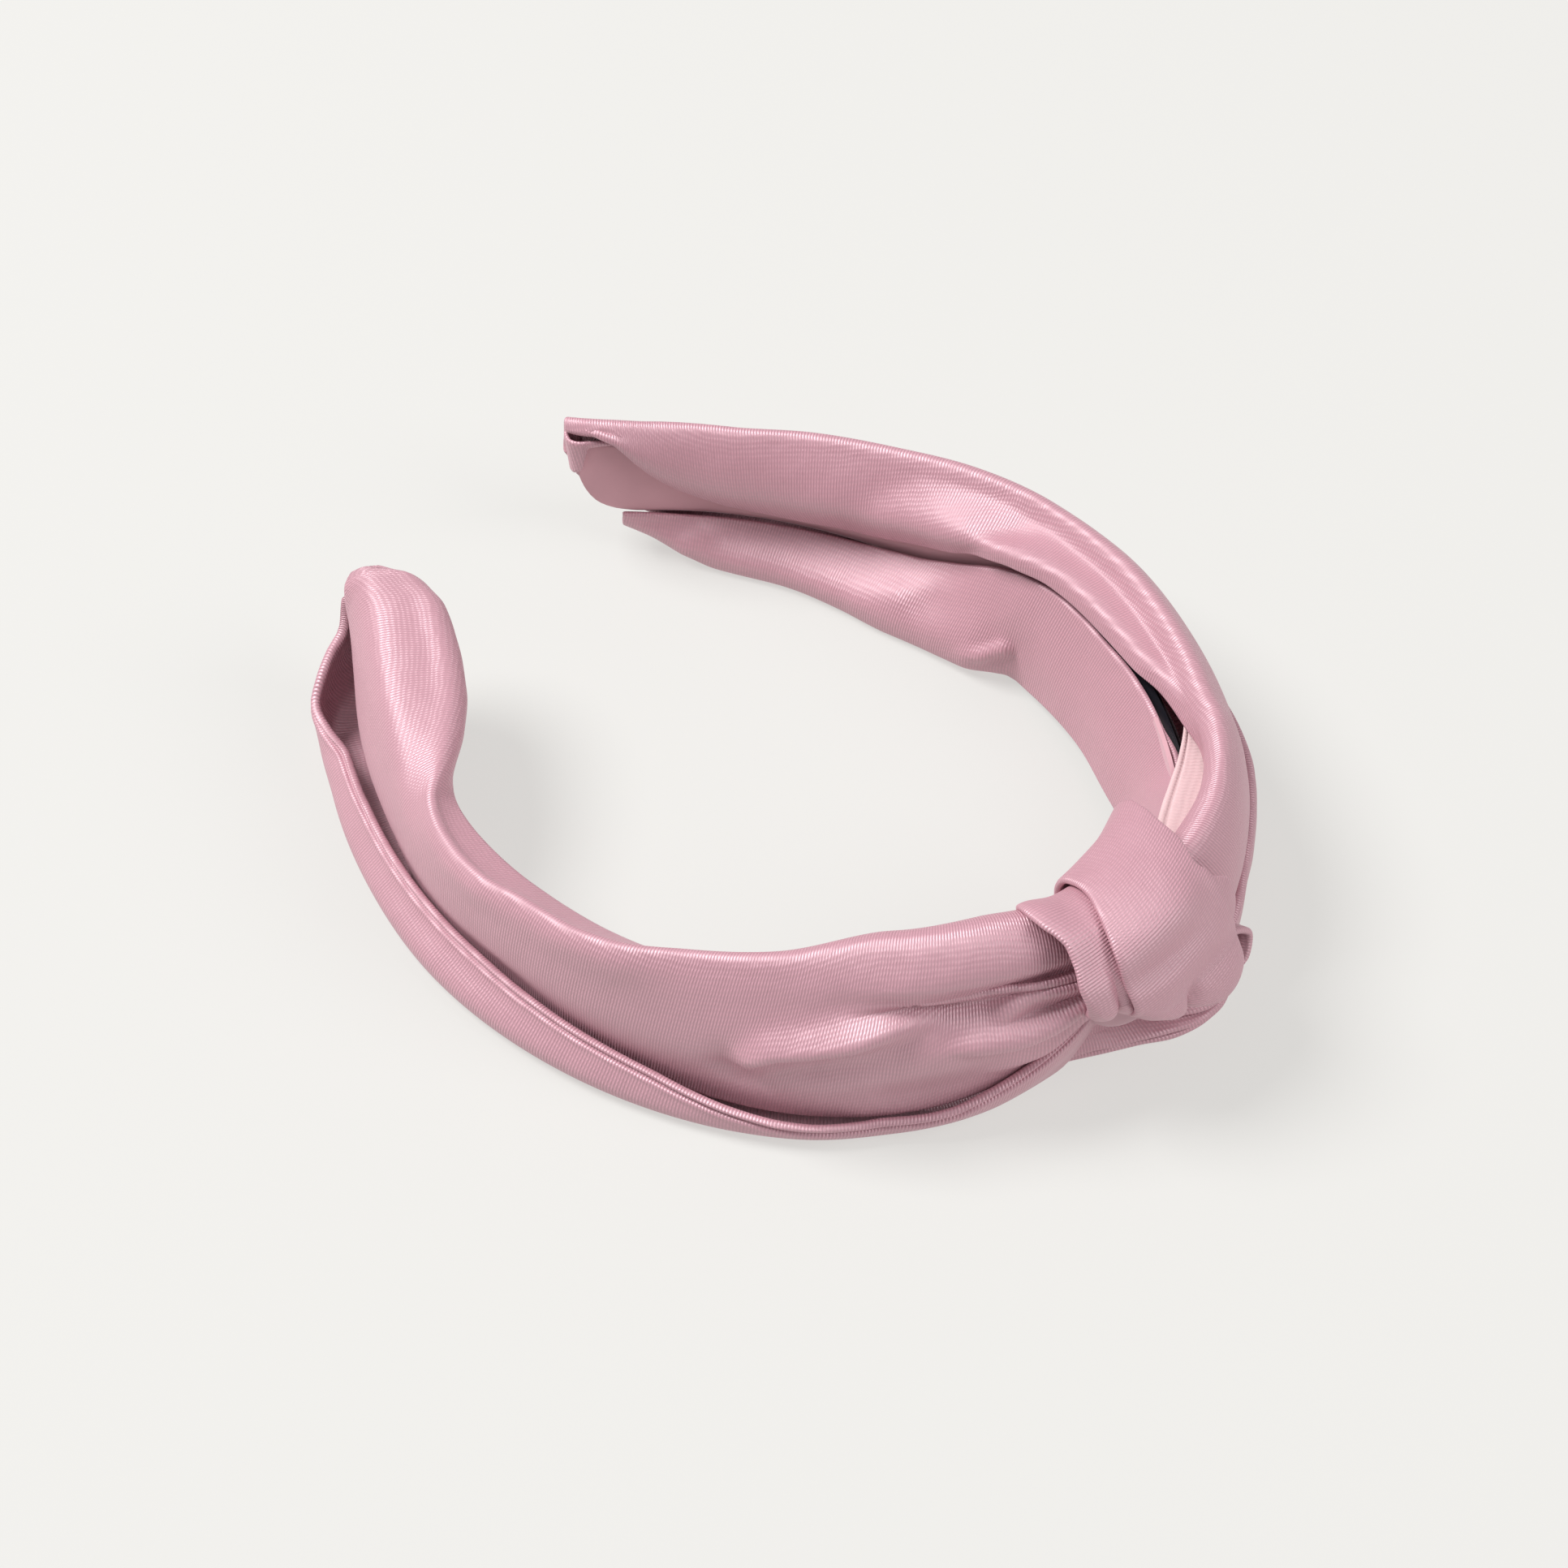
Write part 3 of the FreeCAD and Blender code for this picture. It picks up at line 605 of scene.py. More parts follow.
RIGHT_HEM = [
    (14, 0.2, 28.6), (24, 1.0, 28.2), (30, 2.4, 28.1), (36.2, 3.8, 28.0), (42, 4.0, 28.0), (50, 2.4, 27.6),
    (58, 0.9, 27.5), (66, -1.8, 27.5), (75, -2.7, 27.4), (83, -3.1, 27.4), (92, -3.8, 27.2),
    (100, -5.1, 26.4), (107, -5.2, 24.2), (117, -4.6, 20.0), (125, -4.1, 17.2), (136, -4.1, 14.6),
    (149, -4.6, 14.0), (162, -4.2, 14.4), (171, -3.8, 16.6), (176, -3.7, 19.4), (180.5, -3.7, 23.6),
    (183.4, -4.3, 27.8), (185.5, -4.4, 29.7), (190, -2.0, 30.8), (194, 0.5, 31.2),
]
RIGHT_INNER = [
    (14, -0.6, 30), (34, 3.2, 30.2), (42, 4.2, 30.0), (50, 3.4, 29.9), (58, 2.0, 29.9), (66, 0.0, 30.2),
    (75, -1.2, 30.2), (84, -1.8, 30.2), (92, -2.8, 30.0), (100, -4.6, 29.2), (107, -5.2, 27.6),
    (117, -5.6, 25.2), (125, -5.8, 23.4), (136, -6.6, 21.8), (149, -7.4, 21.4), (162, -7.7, 21.6),
    (171, -7.0, 23.0), (176, -6.6, 25.0), (180.5, -5.7, 27.6), (185.5, -4.1, 30.8), (190, -1.9, 31.6),
    (194, 0.6, 31.9),
]
RIGHT_OUTER = [
    (6, 7.4, 24), (14, 8.4, 24), (22, 9.6, 24), (34, 10.6, 22.5), (42, 11.4, 22), (50, 12.2, 21.5),
    (57, 13.0, 20.5), (64, 13.4, 20.5), (80, 12.6, 21), (100, 11.0, 21), (120, 8.4, 21), (150, 4.6, 21),
    (180, 3.4, 22), (190, 3.4, 23), (194, 2.4, 26),
]
RIGHT_WAIST = [
    (6, 6.6, 14), (14, 8.4, 14), (24, 9.2, 13), (33, 9.8, 11), (39, 11.0, 10.8), (47, 13.2, 10.5),
    (56, 15.2, 10), (64, 15.8, 10), (80, 14.6, 10), (100, 12.2, 10), (120, 9.4, 10), (150, 6.2, 10),
    (176, 4.8, 11), (186, 4.2, 15), (191, 3.4, 19), (194, 2.0, 24),
]
RIGHT_TUCK = [
    (6, 4.8, 8), (14, 7.0, 7), (30, 8.6, 4.5), (42, 10.6, 4.0), (56, 13.6, 4.0), (66, 14.0, 4.0),
    (80, 12.8, 4.0), (100, 10.6, 4.0), (120, 7.8, 4.0), (150, 4.8, 4.0), (172, 3.6, 5), (180, 3.2, 8),
    (186, 2.8, 13), (191, 2.4, 17.5), (194, 1.6, 23),
]


def right_upper():
    rows = stations(6, 194)
    lines = [RIGHT_HEM, RIGHT_INNER, *ridge_lines(RIGHT_RIDGE), RIGHT_OUTER, RIGHT_WAIST, RIGHT_TUCK]
    grid, at = loft(rows, lines, [16, 12, 8, 8, 14, 12, 10])
    s, z = grid[..., 0], grid[..., 2]
    inside = np.clip((2.2 - at) / 0.5, 0, 1)[None, :]
    push = np.zeros(s.shape)
    # creases where the flap turns up towards the top of the band
    push -= stroke(grid, [(100, 3.5, 32.5), (105, -1.0, 30.0), (109, -3.6, 26.5), (112, -4.6, 22.5)],
                   [0.2, 1.2, 1.3, 0.6], [4.0, 3.4, 2.8, 2.5]) * inside
    push -= stroke(grid, [(126, -2.0, 31.0), (133, -5.6, 26.0), (138, -6.6, 20.0)],
                   [0.3, 1.1, 0.4], [5, 4.5, 4]) * inside
    push += waves(s, z * 1.4, 34.0, 5) * 0.35
    return thick_sheet("satin_right_upper", to_world(grid, push), np.full(s.shape, CLOTH / 2))


# ---- right arm, inner lower flap: wraps up from the floor, then turns into a flat ribbon ----
LOWER_TOP = [
    (16, -4.0, 27.0), (26, -3.8, 26.2), (36, -2.4, 25.9), (44.5, 0.2, 25.9), (52.5, -1.0, 26.2),
    (60, -1.2, 26.2), (67.5, -1.5, 26.2), (76, -2.2, 26.0), (82, -2.4, 26.0), (88, -2.6, 26.0),
    (96, -3.2, 25.2), (103, -3.6, 23.0), (115, -3.4, 16.6), (125, -3.2, 12.6), (137, -2.9, 10.4),
    (150, -2.9, 9.9), (170, -2.9, 9.8), (184, -2.6, 10.2),
]
LOWER_SLOPE = [
    (16, -7.0, 25), (36, -5.4, 20), (48, -5.2, 17), (64, -5.6, 15.6), (80, -5.4, 16.2), (90, -5.4, 17.6),
    (97, -6.2, 17.4), (103, -6.6, 15.5), (115, -7.8, 11.6), (125, -7.8, 9.2), (137, -6.6, 8.2),
    (150, -5.6, 7.6), (165, -5.0, 7.4), (172, -4.4, 7.6), (179, -3.2, 8.4), (184, -2.6, 9.2),
]
LOWER_BELLY = [
    (16, -8.6, 20), (36, -7.0, 14), (48, -6.8, 11), (64, -7.4, 9.8), (80, -7.0, 10.0), (90, -6.8, 10.2),
    (95, -7.0, 9.6), (100, -8.6, 8.4), (106, -11.4, 6.6), (115, -12.6, 5.6), (125, -12.6, 4.8),
    (137, -11.4, 4.4), (150, -9.8, 4.0), (165, -8.2, 4.0), (172, -6.4, 4.6), (179, -3.8, 6.6),
    (184, -2.5, 8.2),
]
LOWER_FLOOR = [
    (16, -8.8, 14), (36, -7.4, 9.0), (48, -7.6, 6.6), (64, -8.0, 5.8), (80, -7.6, 5.6), (90, -7.2, 5.4),
    (95, -7.2, 4.6), (100, -9.2, 3.0), (106, -11.6, 2.0), (115, -12.2, 1.2), (125, -12.2, 0.8),
    (137, -10.8, 0.7), (150, -9.0, 0.7), (165, -7.2, 0.9), (172, -5.4, 2.2), (179, -2.8, 4.8),
    (184, -1.8, 7.0),
]
LOWER_END = [
    (16, -8.4, 11), (36, -7.2, 6.0), (48, -7.6, 4.2), (64, -8.2, 3.4), (80, -7.7, 2.9), (90, -7.4, 2.0),
    (97, -6.4, 1.0), (103, -6.0, 0.7), (115, -5.0, 0.7), (150, -2.0, 0.7), (165, -1.2, 0.8),
    (172, -0.8, 2.0), (179, -0.4, 4.4), (184, -0.4, 6.6),
]


def right_lower():
    rows = stations(16, 184)
    lines = [LOWER_TOP, LOWER_SLOPE, LOWER_BELLY, LOWER_FLOOR, LOWER_END]
    grid, at = loft(rows, lines, [16, 16, 14, 12])
    s, z = grid[..., 0], grid[..., 2]
    push = -stroke(grid, [(98, -7.4, 9.5), (102, -9.6, 6.5), (108, -11.6, 4.0)],
                   [1.4, 1.6, 0.2], [1.3, 1.5, 2.0])
    push -= stroke(grid, [(117, -7.0, 12.0), (124, -9.6, 8.0), (132, -10.6, 5.6)],
                   [0.3, 1.3, 0.4], [3.0, 3.4, 3.0])
    push -= stroke(grid, [(168, -5.0, 7.6), (171.5, -6.4, 5.2)], [1.2, 0.7], [2.4, 2.0])
    push += waves(s, z * 1.6, 24.0, 8) * 0.45
    return thick_sheet("satin_right_lower", to_world(grid, push), np.full(s.shape, CLOTH / 2))


# ---- right arm, outer lower flap, with the same stitched hem as the left arm ----
OUTER_HEM = [
    (6, 6.0, 12), (14, 9.4, 12), (24, 10.2, 11.5), (33, 10.9, 10.6), (39, 12.2, 10.4), (47, 14.4, 10.4),
    (56, 16.5, 10.2), (65, 17.2, 10), (80, 16.0, 10), (100, 13.5, 10.5), (120, 10.6, 10.5),
    (150, 7.8, 10.5), (172, 6.4, 11), (182, 5.8, 14), (188, 5.2, 17), (192, 4.4, 21),
]
OUTER_HEM_FOOT = [
    (6, 6.2, 8.6), (14, 9.8, 8.6), (24, 10.6, 8.2), (33, 11.1, 7.6), (39, 12.6, 7.4), (47, 15.0, 7.4),
    (56, 17.4, 7.2), (65, 18.2, 7.0), (80, 17.0, 7.0), (100, 14.7, 7.4), (120, 11.8, 7.4), (150, 9.2, 7.4),
    (172, 7.4, 7.8), (182, 6.4, 11), (188, 5.4, 15), (192, 4.2, 20),
]
OUTER_BELLY = [
    (6, 6.0, 4.8), (14, 9.6, 4.4), (24, 10.2, 3.8), (33, 10.9, 3.5), (39, 12.6, 3.4), (47, 15.2, 3.3),
    (56, 17.8, 3.3), (65, 18.8, 3.3), (80, 17.4, 3.4), (100, 15.1, 3.6), (120, 12.6, 3.6),
    (150, 10.0, 3.6), (168, 8.2, 4.0), (176, 7.2, 6.0), (184, 5.6, 10.5), (189, 4.2, 15), (192, 3.2, 19),
]
OUTER_FLOOR = [
    (6, 4.0, 1.4), (14, 7.6, 1.2), (24, 8.4, 0.68), (33, 9.0, 0.68), (47, 13.0, 0.68), (65, 16.4, 0.68),
    (80, 15.4, 0.68), (100, 13.2, 0.68), (120, 11.0, 0.68), (150, 8.2, 0.68), (168, 6.4, 1.4),
    (176, 5.2, 4.4), (184, 3.6, 9.4), (189, 2.6, 14), (192, 1.6, 18.5),
]
OUTER_END = [
    (14, 3.0, 1.2), (30, 1.0, 0.68), (100, 0.0, 0.68), (150, 1.4, 0.68), (168, 1.6, 1.6), (176, 1.6, 4.6),
    (184, 1.4, 9.8), (189, 1.0, 14.5), (192, 0.4, 19),
]


def right_outer():
    rows = stations(6, 192)
    lines = [OUTER_HEM, OUTER_HEM_FOOT, OUTER_BELLY, OUTER_FLOOR, OUTER_END]
    grid, at = loft(rows, lines, [26, 14, 12, 16])
    s = grid[..., 0]
    push = waves(s, at[None, :] * 8, 30.0, 21) * 0.3 * np.clip(2.6 - at, 0, 1)[None, :]
    points = to_world(grid, push)
    from_hem = lengths(points, 1)
    obj = thick_sheet("satin_right_outer", points, hem_profile(from_hem))
    return obj, points, from_hem


# ---- knot: wraps of satin around the gathered heart ----
KNOT_R = 0.6
KNOT_Z = 22.4
KNOT_FOLD = 20.0              # degrees over which a wrap folds under itself


def ellipse_reach(angle, half_r, half_z, square):
    c, d = np.abs(np.cos(angle)) / half_r, np.abs(np.sin(angle)) / half_z
    return (c**square + d**square) ** (-1 / square)


def wrap(name, first, last, left, right, size, swell, hem, dents=()):
    """A band of satin around the band's axis. left and right are edges (degrees, station), size is
    (degrees, reach), hem is (station, degrees) where the band folds under, and dents are
    (degrees, station, depth, spread in degrees, spread in mm)."""
    degrees = np.concatenate([[first, first + 0.3, first + 1.2, first + 2.4],
                              np.arange(first + 4, last - 3, 1.0),
                              [last - 2.4, last - 1.2, last - 0.3, last]])
    close = [0, 0.004, 0.014, 0.03, 0.05, 0.075]
    share = np.concatenate([close, np.linspace(0.1, 0.9, 54), [1 - c for c in close[::-1]]])
    s0, s1 = smooth(left, degrees)[:, :1], smooth(right, degrees)[:, :1]
    s = s0 + (s1 - s0) * share[None, :]
    turn = np.broadcast_to(degrees[:, None], s.shape)
    across = 2 * share[None, :] - 1
    reach = smooth(size, degrees)[:, :1] + swell * (1 - np.abs(across) ** 4)
    for where, at, depth, spread, wide in dents:
        reach = reach - depth * np.exp(-((turn - where) / spread) ** 2 - ((s - at) / wide) ** 2)
    reach = reach + waves(s, turn * 0.25, 16.0, len(name)) * 0.18
    fold_at = smooth(hem, s.ravel())[:, 0].reshape(s.shape)
    reach = reach * np.sqrt(1 - np.clip((fold_at - turn) / KNOT_FOLD, 0, 0.9) ** 2)
    angle = np.radians(turn)
    grid = np.stack([s, KNOT_R + reach * np.cos(angle), KNOT_Z + reach * np.sin(angle)], axis=-1)
    return thick_sheet(name, to_world(grid), np.full(s.shape, CLOTH / 2))


def knot_wraps():
    """The three bands of satin that go round the heart, outermost first."""
    pieces = []
    pieces.append(wrap(
        "knot_main_soft", -72, 262,
        [(-72, -7), (-20, -9.0), (16, -9.6), (34, -10.2), (58, -10.7), (75, -9.9), (85, -9.0), (97, -7.8),
         (111, -7.0), (126, -6.4), (180, -4), (262, -3)],
        [(-72, 11.5), (-24, 11.8), (-2, 11.6), (16, 11.6), (37, 10.8), (61, 10.8), (70, 10.2), (77, 11.2),
         (85, 12.6), (98, 14.6), (112, 18), (122, 20.5), (148, 23), (180, 23), (262, 14)],
        [(-80, 9), (-44, 12.4), (-34, 13.6), (-22, 14.0), (-10, 13.8), (5, 13.6), (15, 13.8), (30, 14.6),
         (45, 16.0), (60, 17.2), (75, 18.0), (90, 18.4), (105, 18.6), (120, 18.2), (135, 16.4),
         (150, 14.2), (180, 12.2), (215, 12.0), (262, 10)],
        0.5,
        [(-14, 28), (-9, 21), (-7.3, 11), (-4.9, 1), (-2.2, -9), (-0.9, -11), (0.0, -4), (0.9, -10),
         (2.4, -14), (5, -21), (8, -28), (12, -34), (16, -36)],
        dents=[(-25, 8, -3.2, 22, 7), (-6, 0.4, 1.6, 12, 1.3), (42, -3, 1.5, 10, 9), (62, 0, -0.7, 10, 9),
               (76, 3, -0.5, 16, 7), (12, 4, 0.8, 12, 5), (60, 8, 0.5, 10, 3), (116, -2, 0.5, 10, 5)]))
    pieces.append(wrap(
        "knot_side_soft", -24, 262,
        [(-24, -13), (20, -14.5), (25, -15.0), (37, -16.0), (53, -16.8), (67, -16.5), (77, -16.5),
         (85, -17.2), (94, -18.6), (106, -19.4), (120, -19), (130, -17.5), (180, -14), (262, -12)],
        [(-24, -4), (50, -6), (100, -4), (130, -3), (180, -2), (262, -2)],
        [(-40, 8), (-20, 11.0), (0, 11.6), (20, 12.3), (35, 13.2), (50, 14.4), (70, 15.8), (83, 16.6),
         (100, 16.8), (116, 16.4), (130, 14.8), (150, 12.4), (180, 10.4), (262, 9)],
        0.2,
        [(-17.5, 50), (-15.8, 43), (-14.3, 31), (-12.6, 26), (-11.9, 29), (-11.3, 44), (-10.7, 30),
         (-9.8, 23), (-8.2, 14), (-4, 4)],
        dents=[(108, -18, -1.9, 34, 5.5), (40, -11.2, 0.9, 16, 1.0), (62, -13, 0.5, 12, 3)]))
    pieces.append(wrap(
        "knot_back_soft", -60, 250,
        [(-60, 6), (250, 7)],
        [(-60, 12), (-4, 15.2), (25, 16.2), (39, 15.8), (52, 13.6), (61, 11.4), (75, 9.6), (100, 10),
         (140, 18.0), (180, 20.0), (250, 14)],
        [(-60, 8.0), (-30, 10.9), (0, 11.2), (20, 11.6), (40, 12.7), (60, 13.8), (90, 15.0), (120, 14.6),
         (150, 12.0), (180, 10.2), (250, 8.6)],
        0.3,
        [(4, -30), (18, -30)]))
    return pieces


def knot_heart():
    """The gathered middle that the wraps go round."""
    rows = np.linspace(-12.5, 14, 34)
    degrees = np.linspace(0, 360, 60, endpoint=False)
    taper = np.sqrt(np.clip(1 - ((rows - 0.75) / 13.6) ** 4, 0.02, 1))[:, None]
    angle = np.radians(degrees)[None, :]
    reach = ellipse_reach(angle, 8.8, 11.8, 2.2) * taper
    reach = reach * (1 + 0.05 * np.sin(angle * 7))
    s = np.broadcast_to(rows[:, None], reach.shape)
    points = place(s, KNOT_R + reach * np.cos(angle), KNOT_Z + reach * np.sin(angle))
    count = len(degrees)
    verts = points.reshape(-1, 3)
    faces = []
    for i in range(len(rows) - 1):
        near, far = i * count, (i + 1) * count
        for j in range(count):
            k = (j + 1) % count
            faces.append((near + j, near + k, far + k, far + j))
    faces.append(tuple(range(count)))
    faces.append(tuple((len(rows) - 1) * count + j for j in range(count))[::-1])
    return make_object("knot_heart_soft", verts, faces, SATIN)


def knot_loop():
    """The loop that stands out behind the knot: (share of the way, station, reach, height)."""
    line = smooth([(0, 9.5, 12.0, 23.0), (0.25, 13.8, 13.4, 21.0), (0.5, 16.0, 14.6, 17.6),
                   (0.75, 14.4, 15.0, 14.4), (1, 9.5, 13.0, 12.4)], np.linspace(0, 1, 40))
    wide = stations(0, 6.0, 0.5)
    grid = np.stack([np.broadcast_to(line[:, None, 0], (40, len(wide))),
                     line[:, None, 1] + 1.2 - wide[None, :],
                     np.broadcast_to(line[:, None, 2], (40, len(wide)))], axis=-1)
    return thick_sheet("knot_loop_soft", to_world(grid), np.full(grid.shape[:2], CLOTH / 2))


KNOT_TAILS = [                # name, height, half thickness, outer edge as (station, reach)
    ("knot_tail_low", 0.75, 0.62,
     [(-13, -1.5), (-9, 0.2), (0, 5.0), (5, 9.2), (10, 11.8), (14, 12.8), (19, 12.2), (22, 10)]),
    ("knot_tail_mid", 2.3, 0.6,
     [(-13, -0.5), (-8, 1.0), (-2, 4.0), (4, 8.6), (9, 11.8), (14, 13.0), (19, 12.0), (22, 10)]),
    ("knot_tail_top", 4.2, 0.6,
     [(-9, -1.0), (-2, 0.6), (2, 3.4), (6, 8.1), (11, 12.4), (15, 13.2), (18, 12.4), (21, 10)]),
]


def knot_tails():
    """The hems that end in layers under the knot."""
    layers = []
    share = np.concatenate([[0, 0.01, 0.03, 0.06, 0.1], np.linspace(0.16, 0.96, 20), [0.99, 1]])[None, :]
    for name, height, half, outline in KNOT_TAILS:
        rows = stations(outline[0][0], outline[-1][0], 0.8)
        outer = smooth(outline, rows)
        r = outer - share * (outer + 1.2)
        z = height + 0.25 * np.sin(rows * 0.5)[:, None] * (height > 1) + share * (1.0 + height)
        s = np.broadcast_to(rows[:, None], r.shape)
        layers.append(thick_sheet(name, place(s, r, z), np.full(r.shape, half)))
    return layers


# ---- tip folds: the satin folded in over each end of the core ----
TIP_FOLD = [                  # share of the way round, station, reach, lowest and highest z
    (0, 184.6, -2.7, 28.0, 28.6), (0.2, 187.6, -2.75, 27.9, 29.2), (0.36, 190.0, -2.75, 27.7, 29.4),
    (0.44, 190.7, -2.75, 25.6, 29.4), (0.52, 191.4, -2.7, 22.6, 29.4), (0.62, 192.4, -2.3, 21.4, 29.4),
    (0.72, 193.2, -1.3, 20.6, 29.4), (0.82, 193.4, 0.2, 20.0, 29.4), (0.92, 192.6, 1.6, 19.6, 29.2),
    (1, 190.6, 2.4, 19.6, 29.0),
]


def tip_fold(name, side):
    """A small flap from the outer panel's end, round the core's end, lying on the inner side."""
    turn = np.linspace(0, 1, 60)
    s, r, low, high = smooth(TIP_FOLD, turn).T
    share = np.concatenate([[0, 0.02, 0.06, 0.12], np.linspace(0.2, 0.8, 14), [0.88, 0.94, 0.98, 1]])
    z = low[:, None] + (high - low)[:, None] * share[None, :]
    lean = np.clip((turn - 0.4) / 0.3, 0, 1)[:, None] * (z - 24.0) * 0.1
    grid = np.stack([side * (s[:, None] + lean), np.broadcast_to(r[:, None], z.shape), z], axis=-1)
    return thick_sheet(name, to_world(grid), np.full(z.shape, 0.45))


# ---- pale ribbon fold on the crown's upper edge, showing where the two flaps part ----
RIBBON_LEFT = [(-54, -0.9), (4, -1.0), (12, -2.6), (20, -4.6), (27, -4.8), (31, -4.4),
               (37, -2.9), (44.4, 0.0), (50, 2.2), (56, 4.2)]
RIBBON_RIGHT = [(-54, 0.9), (4, 1.0), (12, 1.6), (20, 2.4), (28, 3.0), (35, 3.8), (42, 5.0),
                (50, 5.8), (56, 5.6)]
RIBBON_LEVEL = [(-54, 25.4), (4, 25.4), (10, 26.1), (20, 27.3), (30, 27.2), (42, 26.9), (56, 26.5)]


def ribbon_fold():
    rows = stations(-54, 56, 0.6)
    left, right, level = (smooth(keys, rows)[:, :1] for keys in (RIBBON_LEFT, RIBBON_RIGHT, RIBBON_LEVEL))
    share = np.concatenate([[0, 0.02, 0.05, 0.09, 0.14], np.linspace(0.2, 0.8, 14),
                            [0.88, 0.94, 0.98, 1]])[None, :]
    r = left + (right - left) * share
    fold = 0.35 * np.exp(-((share - 0.1) / 0.06) ** 2) - 0.25 * np.exp(-((share - 0.2) / 0.05) ** 2)
    z = level - 0.4 * share + fold * np.clip((right - left) / 4, 0, 1)
    s = np.broadcast_to(rows[:, None], r.shape)
    return thick_sheet("binding_fold", place(s, r, z), np.full(r.shape, 0.28), RIBBON)


# ---- lining and wadding on the hard core ----
LINING_REACH = -1.75
LINING_EDGES = [              # station, lower edge and upper edge
    (54, 9.5, 24.4), (150, 9.6, 24.6), (165, 9.7, 25.8), (180, 9.8, 26.8), (184.5, 10.5, 27.2),
    (187, 11.6, 27.5), (188.8, 13.0, 27.6), (190.4, 15.4, 27.4), (191.3, 17.6, 26.4), (191.8, 19.6, 24.6),
    (192.0, 21.6, 22.6),
]


def lining_strip(name, side, first, last):
    """Suede strip on the inner face of the core, with a rounded end at the tip."""
    rows = stations(first, last)
    low, high = smooth(LINING_EDGES, rows).T
    share = np.concatenate([[0, 0.01, 0.03, 0.06], np.linspace(0.1, 0.9, 20),
                            [0.94, 0.97, 0.99, 1]])[None, :]
    z = low[:, None] + (high - low)[:, None] * share
    s = np.broadcast_to(side * rows[:, None], z.shape)
    r = LINING_REACH - 0.48 * share * (1 - share) + waves(s, z, 40.0, 31) * 0.08
    return thick_sheet(name, place(s, r, z), np.full(z.shape, 0.4), LINING)


def wadding_strip(name, side, first, last):
    """Thin soft felt between the core and the satin."""
    rows = stations(first, last)
    z = np.linspace(12.5, 23.5, 14)[None, :]
    s = np.broadcast_to(side * rows[:, None], (len(rows), 14))
    return thick_sheet(name, place(s, 1.75, z), np.full(s.shape, 0.45), FELT)


# ---- build ----
panel = left_panel()
flap, flap_points, flap_run = left_flap()
upper = right_upper()
lower = right_lower()
outer, outer_points, outer_run = right_outer()
knot_pieces = [*knot_wraps(), knot_heart(), knot_loop(), *knot_tails()]
left_thread = stitches("stitches_left", flap_points, flap_run)
right_thread = stitches("stitches_right", outer_points, outer_run)

for piece in (panel, flap, left_thread):
    arm_blend(piece, -1)
for piece in (upper, lower, outer, right_thread):
    arm_blend(piece, 1)
ribbon = ribbon_fold()
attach(ribbon, "crown")
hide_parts("binding_crown")
for piece in knot_pieces:
    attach(piece, "crown")
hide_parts("satin_left_root", "satin_left_arm")
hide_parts("satin_right_root", "satin_right_arm")
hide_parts("knot_heart", "knot_side_wrap", "knot_main_wrap", "knot_back_band",
            "knot_lower_loop", "knot_tail")

for side, word in ((-1, "left"), (1, "right")):
    fold = tip_fold("tip_fold_soft_" + word, side)
    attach(fold, word + "_arm")
    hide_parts("tip_fold_" + word)
    strip = lining_strip("lining_soft_" + word, side, 54.0, 192.0)
    arm_blend(strip, side)
    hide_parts("lining_" + word)
    felt = wadding_strip("wadding_soft_" + word, side, 27.0, 184.0)
    arm_blend(felt, side)
    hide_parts("wadding_" + word + "_root", "wadding_" + word + "_arm")

for node, mat in (("core_crown", GLOSS_BLACK), ("core_left", GLOSS_BLACK), ("core_right", GLOSS_BLACK),
                  ("lining_crown", LINING)):
    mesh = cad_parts[node].data
    mesh.materials.clear()
    mesh.materials.append(mat)

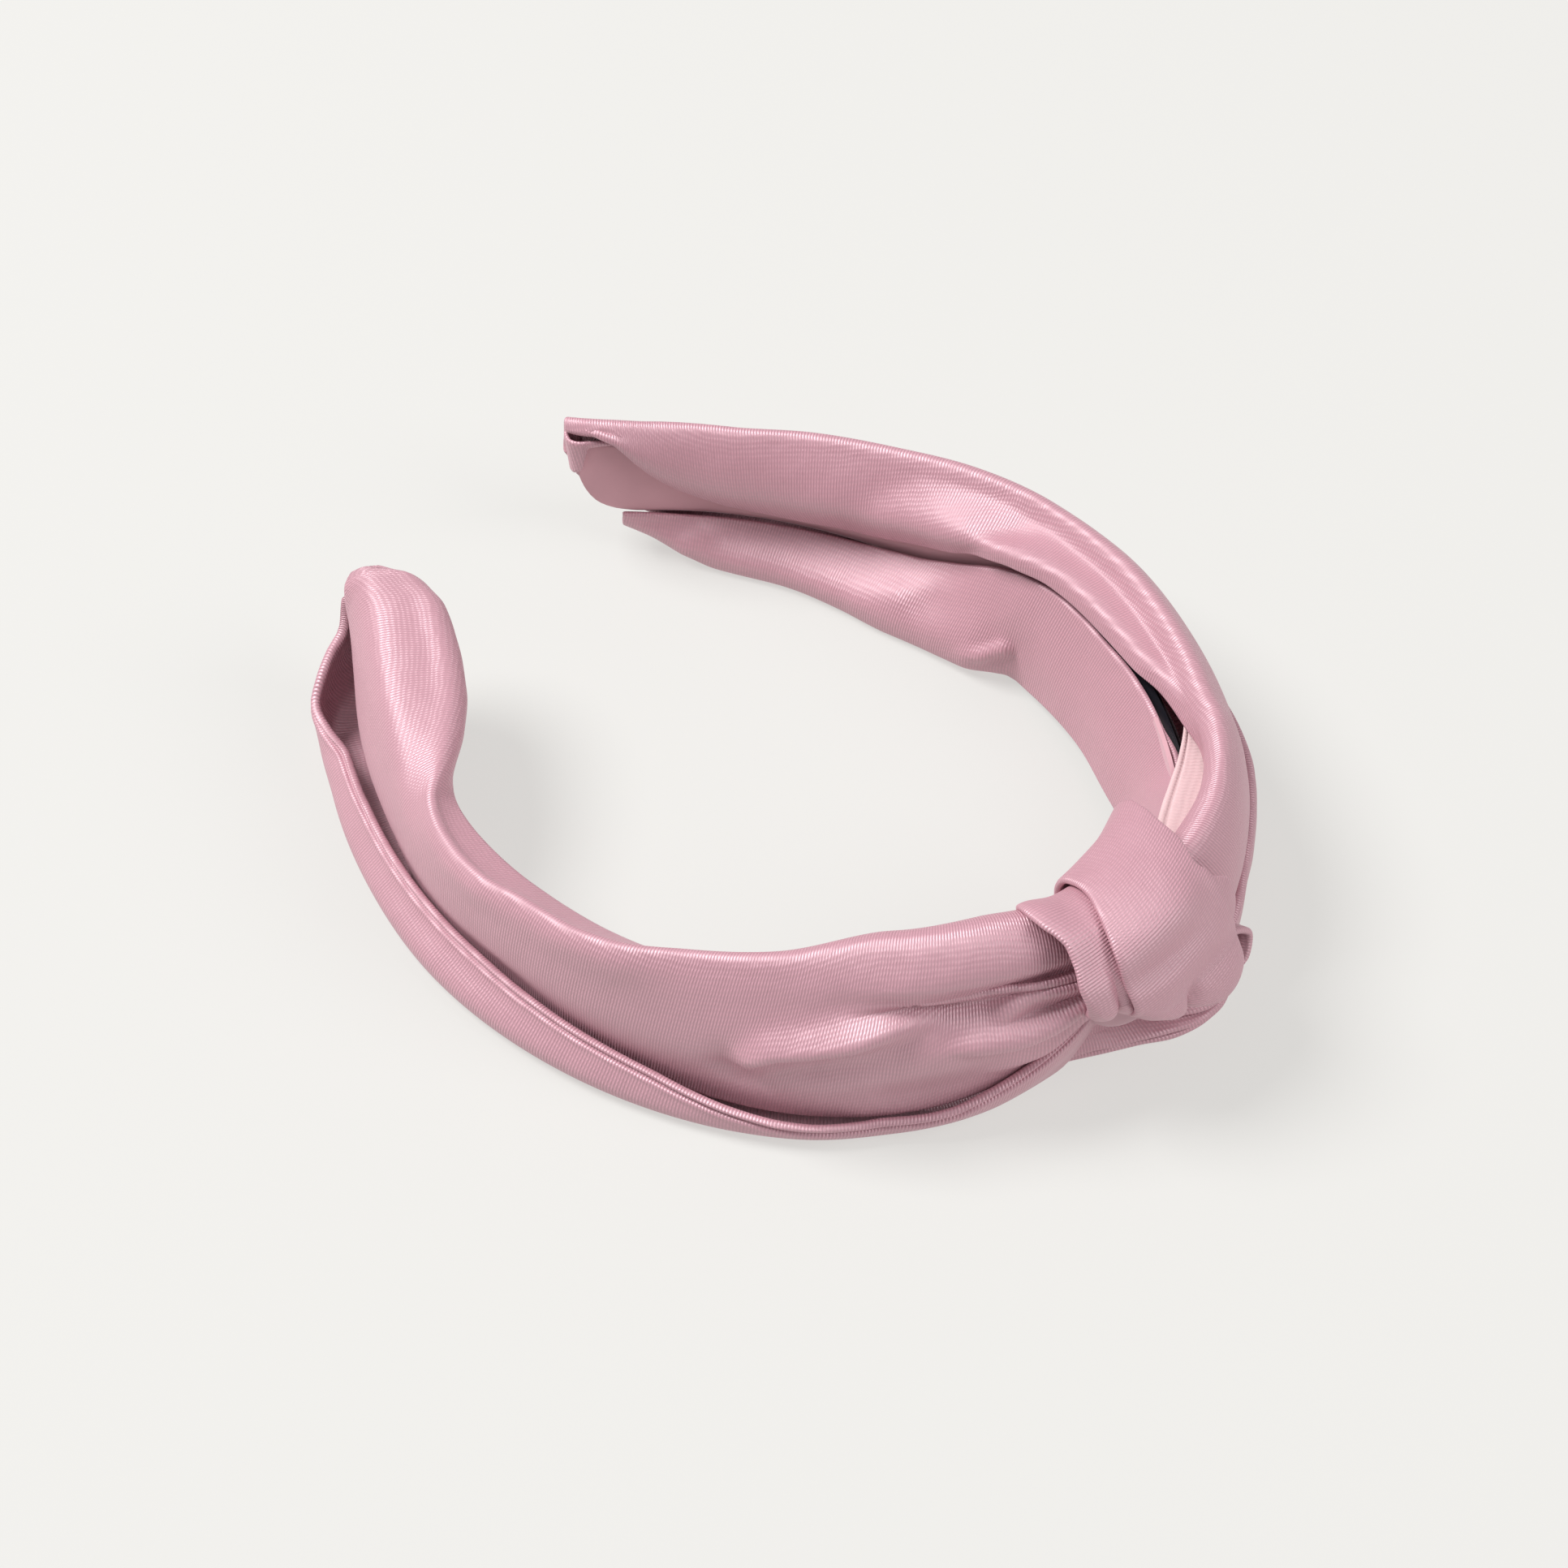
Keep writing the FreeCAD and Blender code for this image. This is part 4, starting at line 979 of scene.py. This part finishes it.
# ---- studio ----
# the floor gives off light of its own, so shadows stay faint
FLOOR_COLOUR = np.array([0.795, 0.785, 0.76])
bpy.ops.mesh.primitive_plane_add(size=8.0, location=(0, 0, -0.0002))
floor = bpy.context.object
floor.name = "floor"
floor_mat = bpy.data.materials.new("floor")
floor_mat.use_nodes = True
floor_shader = floor_mat.node_tree.nodes["Principled BSDF"]
floor_shader.inputs["Base Color"].default_value = (*(0.25 * FLOOR_COLOUR), 1)
floor_shader.inputs["Emission Color"].default_value = (*FLOOR_COLOUR, 1)
floor_shader.inputs["Emission Strength"].default_value = 0.72
floor_shader.inputs["Roughness"].default_value = 0.95
floor_shader.inputs["Specular IOR Level"].default_value = 0.1
floor.data.materials.append(floor_mat)

world = bpy.data.worlds.new("studio")
bpy.context.scene.world = world
world.use_nodes = True
world.node_tree.nodes["Background"].inputs["Color"].default_value = (0.985, 0.995, 1.0, 1)
world.node_tree.nodes["Background"].inputs["Strength"].default_value = 0.36


def soft_light(name, at, size, power):
    data = bpy.data.lights.new(name, "AREA")
    data.shape = "DISK"
    data.size = size
    data.energy = power
    lamp = bpy.data.objects.new(name, data)
    lamp.location = at
    lamp.rotation_euler = (-Vector(at)).to_track_quat("-Z", "Y").to_euler()
    bpy.context.scene.collection.objects.link(lamp)


# the camera looks from azimuth -48.6, elevation 48; the key light comes from its upper left
CAMERA_AZIMUTH = math.radians(-48.6)
CAMERA_ELEVATION = math.radians(48.0)
CAMERA_DISTANCE = 1.0
TARGET = Vector((0.0055, 0.011, 0.0))
back = Vector((math.sin(CAMERA_AZIMUTH) * math.cos(CAMERA_ELEVATION),
               -math.cos(CAMERA_AZIMUTH) * math.cos(CAMERA_ELEVATION),
               math.sin(CAMERA_ELEVATION)))
right_hand = Vector((math.cos(CAMERA_AZIMUTH), math.sin(CAMERA_AZIMUTH), 0))
away = Vector((-math.sin(CAMERA_AZIMUTH), math.cos(CAMERA_AZIMUTH), 0))
soft_light("key", tuple(-right_hand * 1.3 + away * 0.3 + Vector((0, 0, 1.8))), 1.1, 62)
soft_light("fill", tuple(right_hand * 1.2 - away * 0.5 + Vector((0, 0, 1.1))), 1.0, 12)

camera_data = bpy.data.cameras.new("camera")
camera_data.sensor_width = 36.0
camera_data.lens = 36.0 * 6800 / 1932
camera_data.clip_start = 0.05
camera = bpy.data.objects.new("camera", camera_data)
camera.location = TARGET + back * CAMERA_DISTANCE
camera.rotation_euler = (TARGET - camera.location).to_track_quat("-Z", "Y").to_euler()
bpy.context.scene.collection.objects.link(camera)
bpy.context.scene.camera = camera
bpy.context.scene.view_settings.view_transform = "Standard"
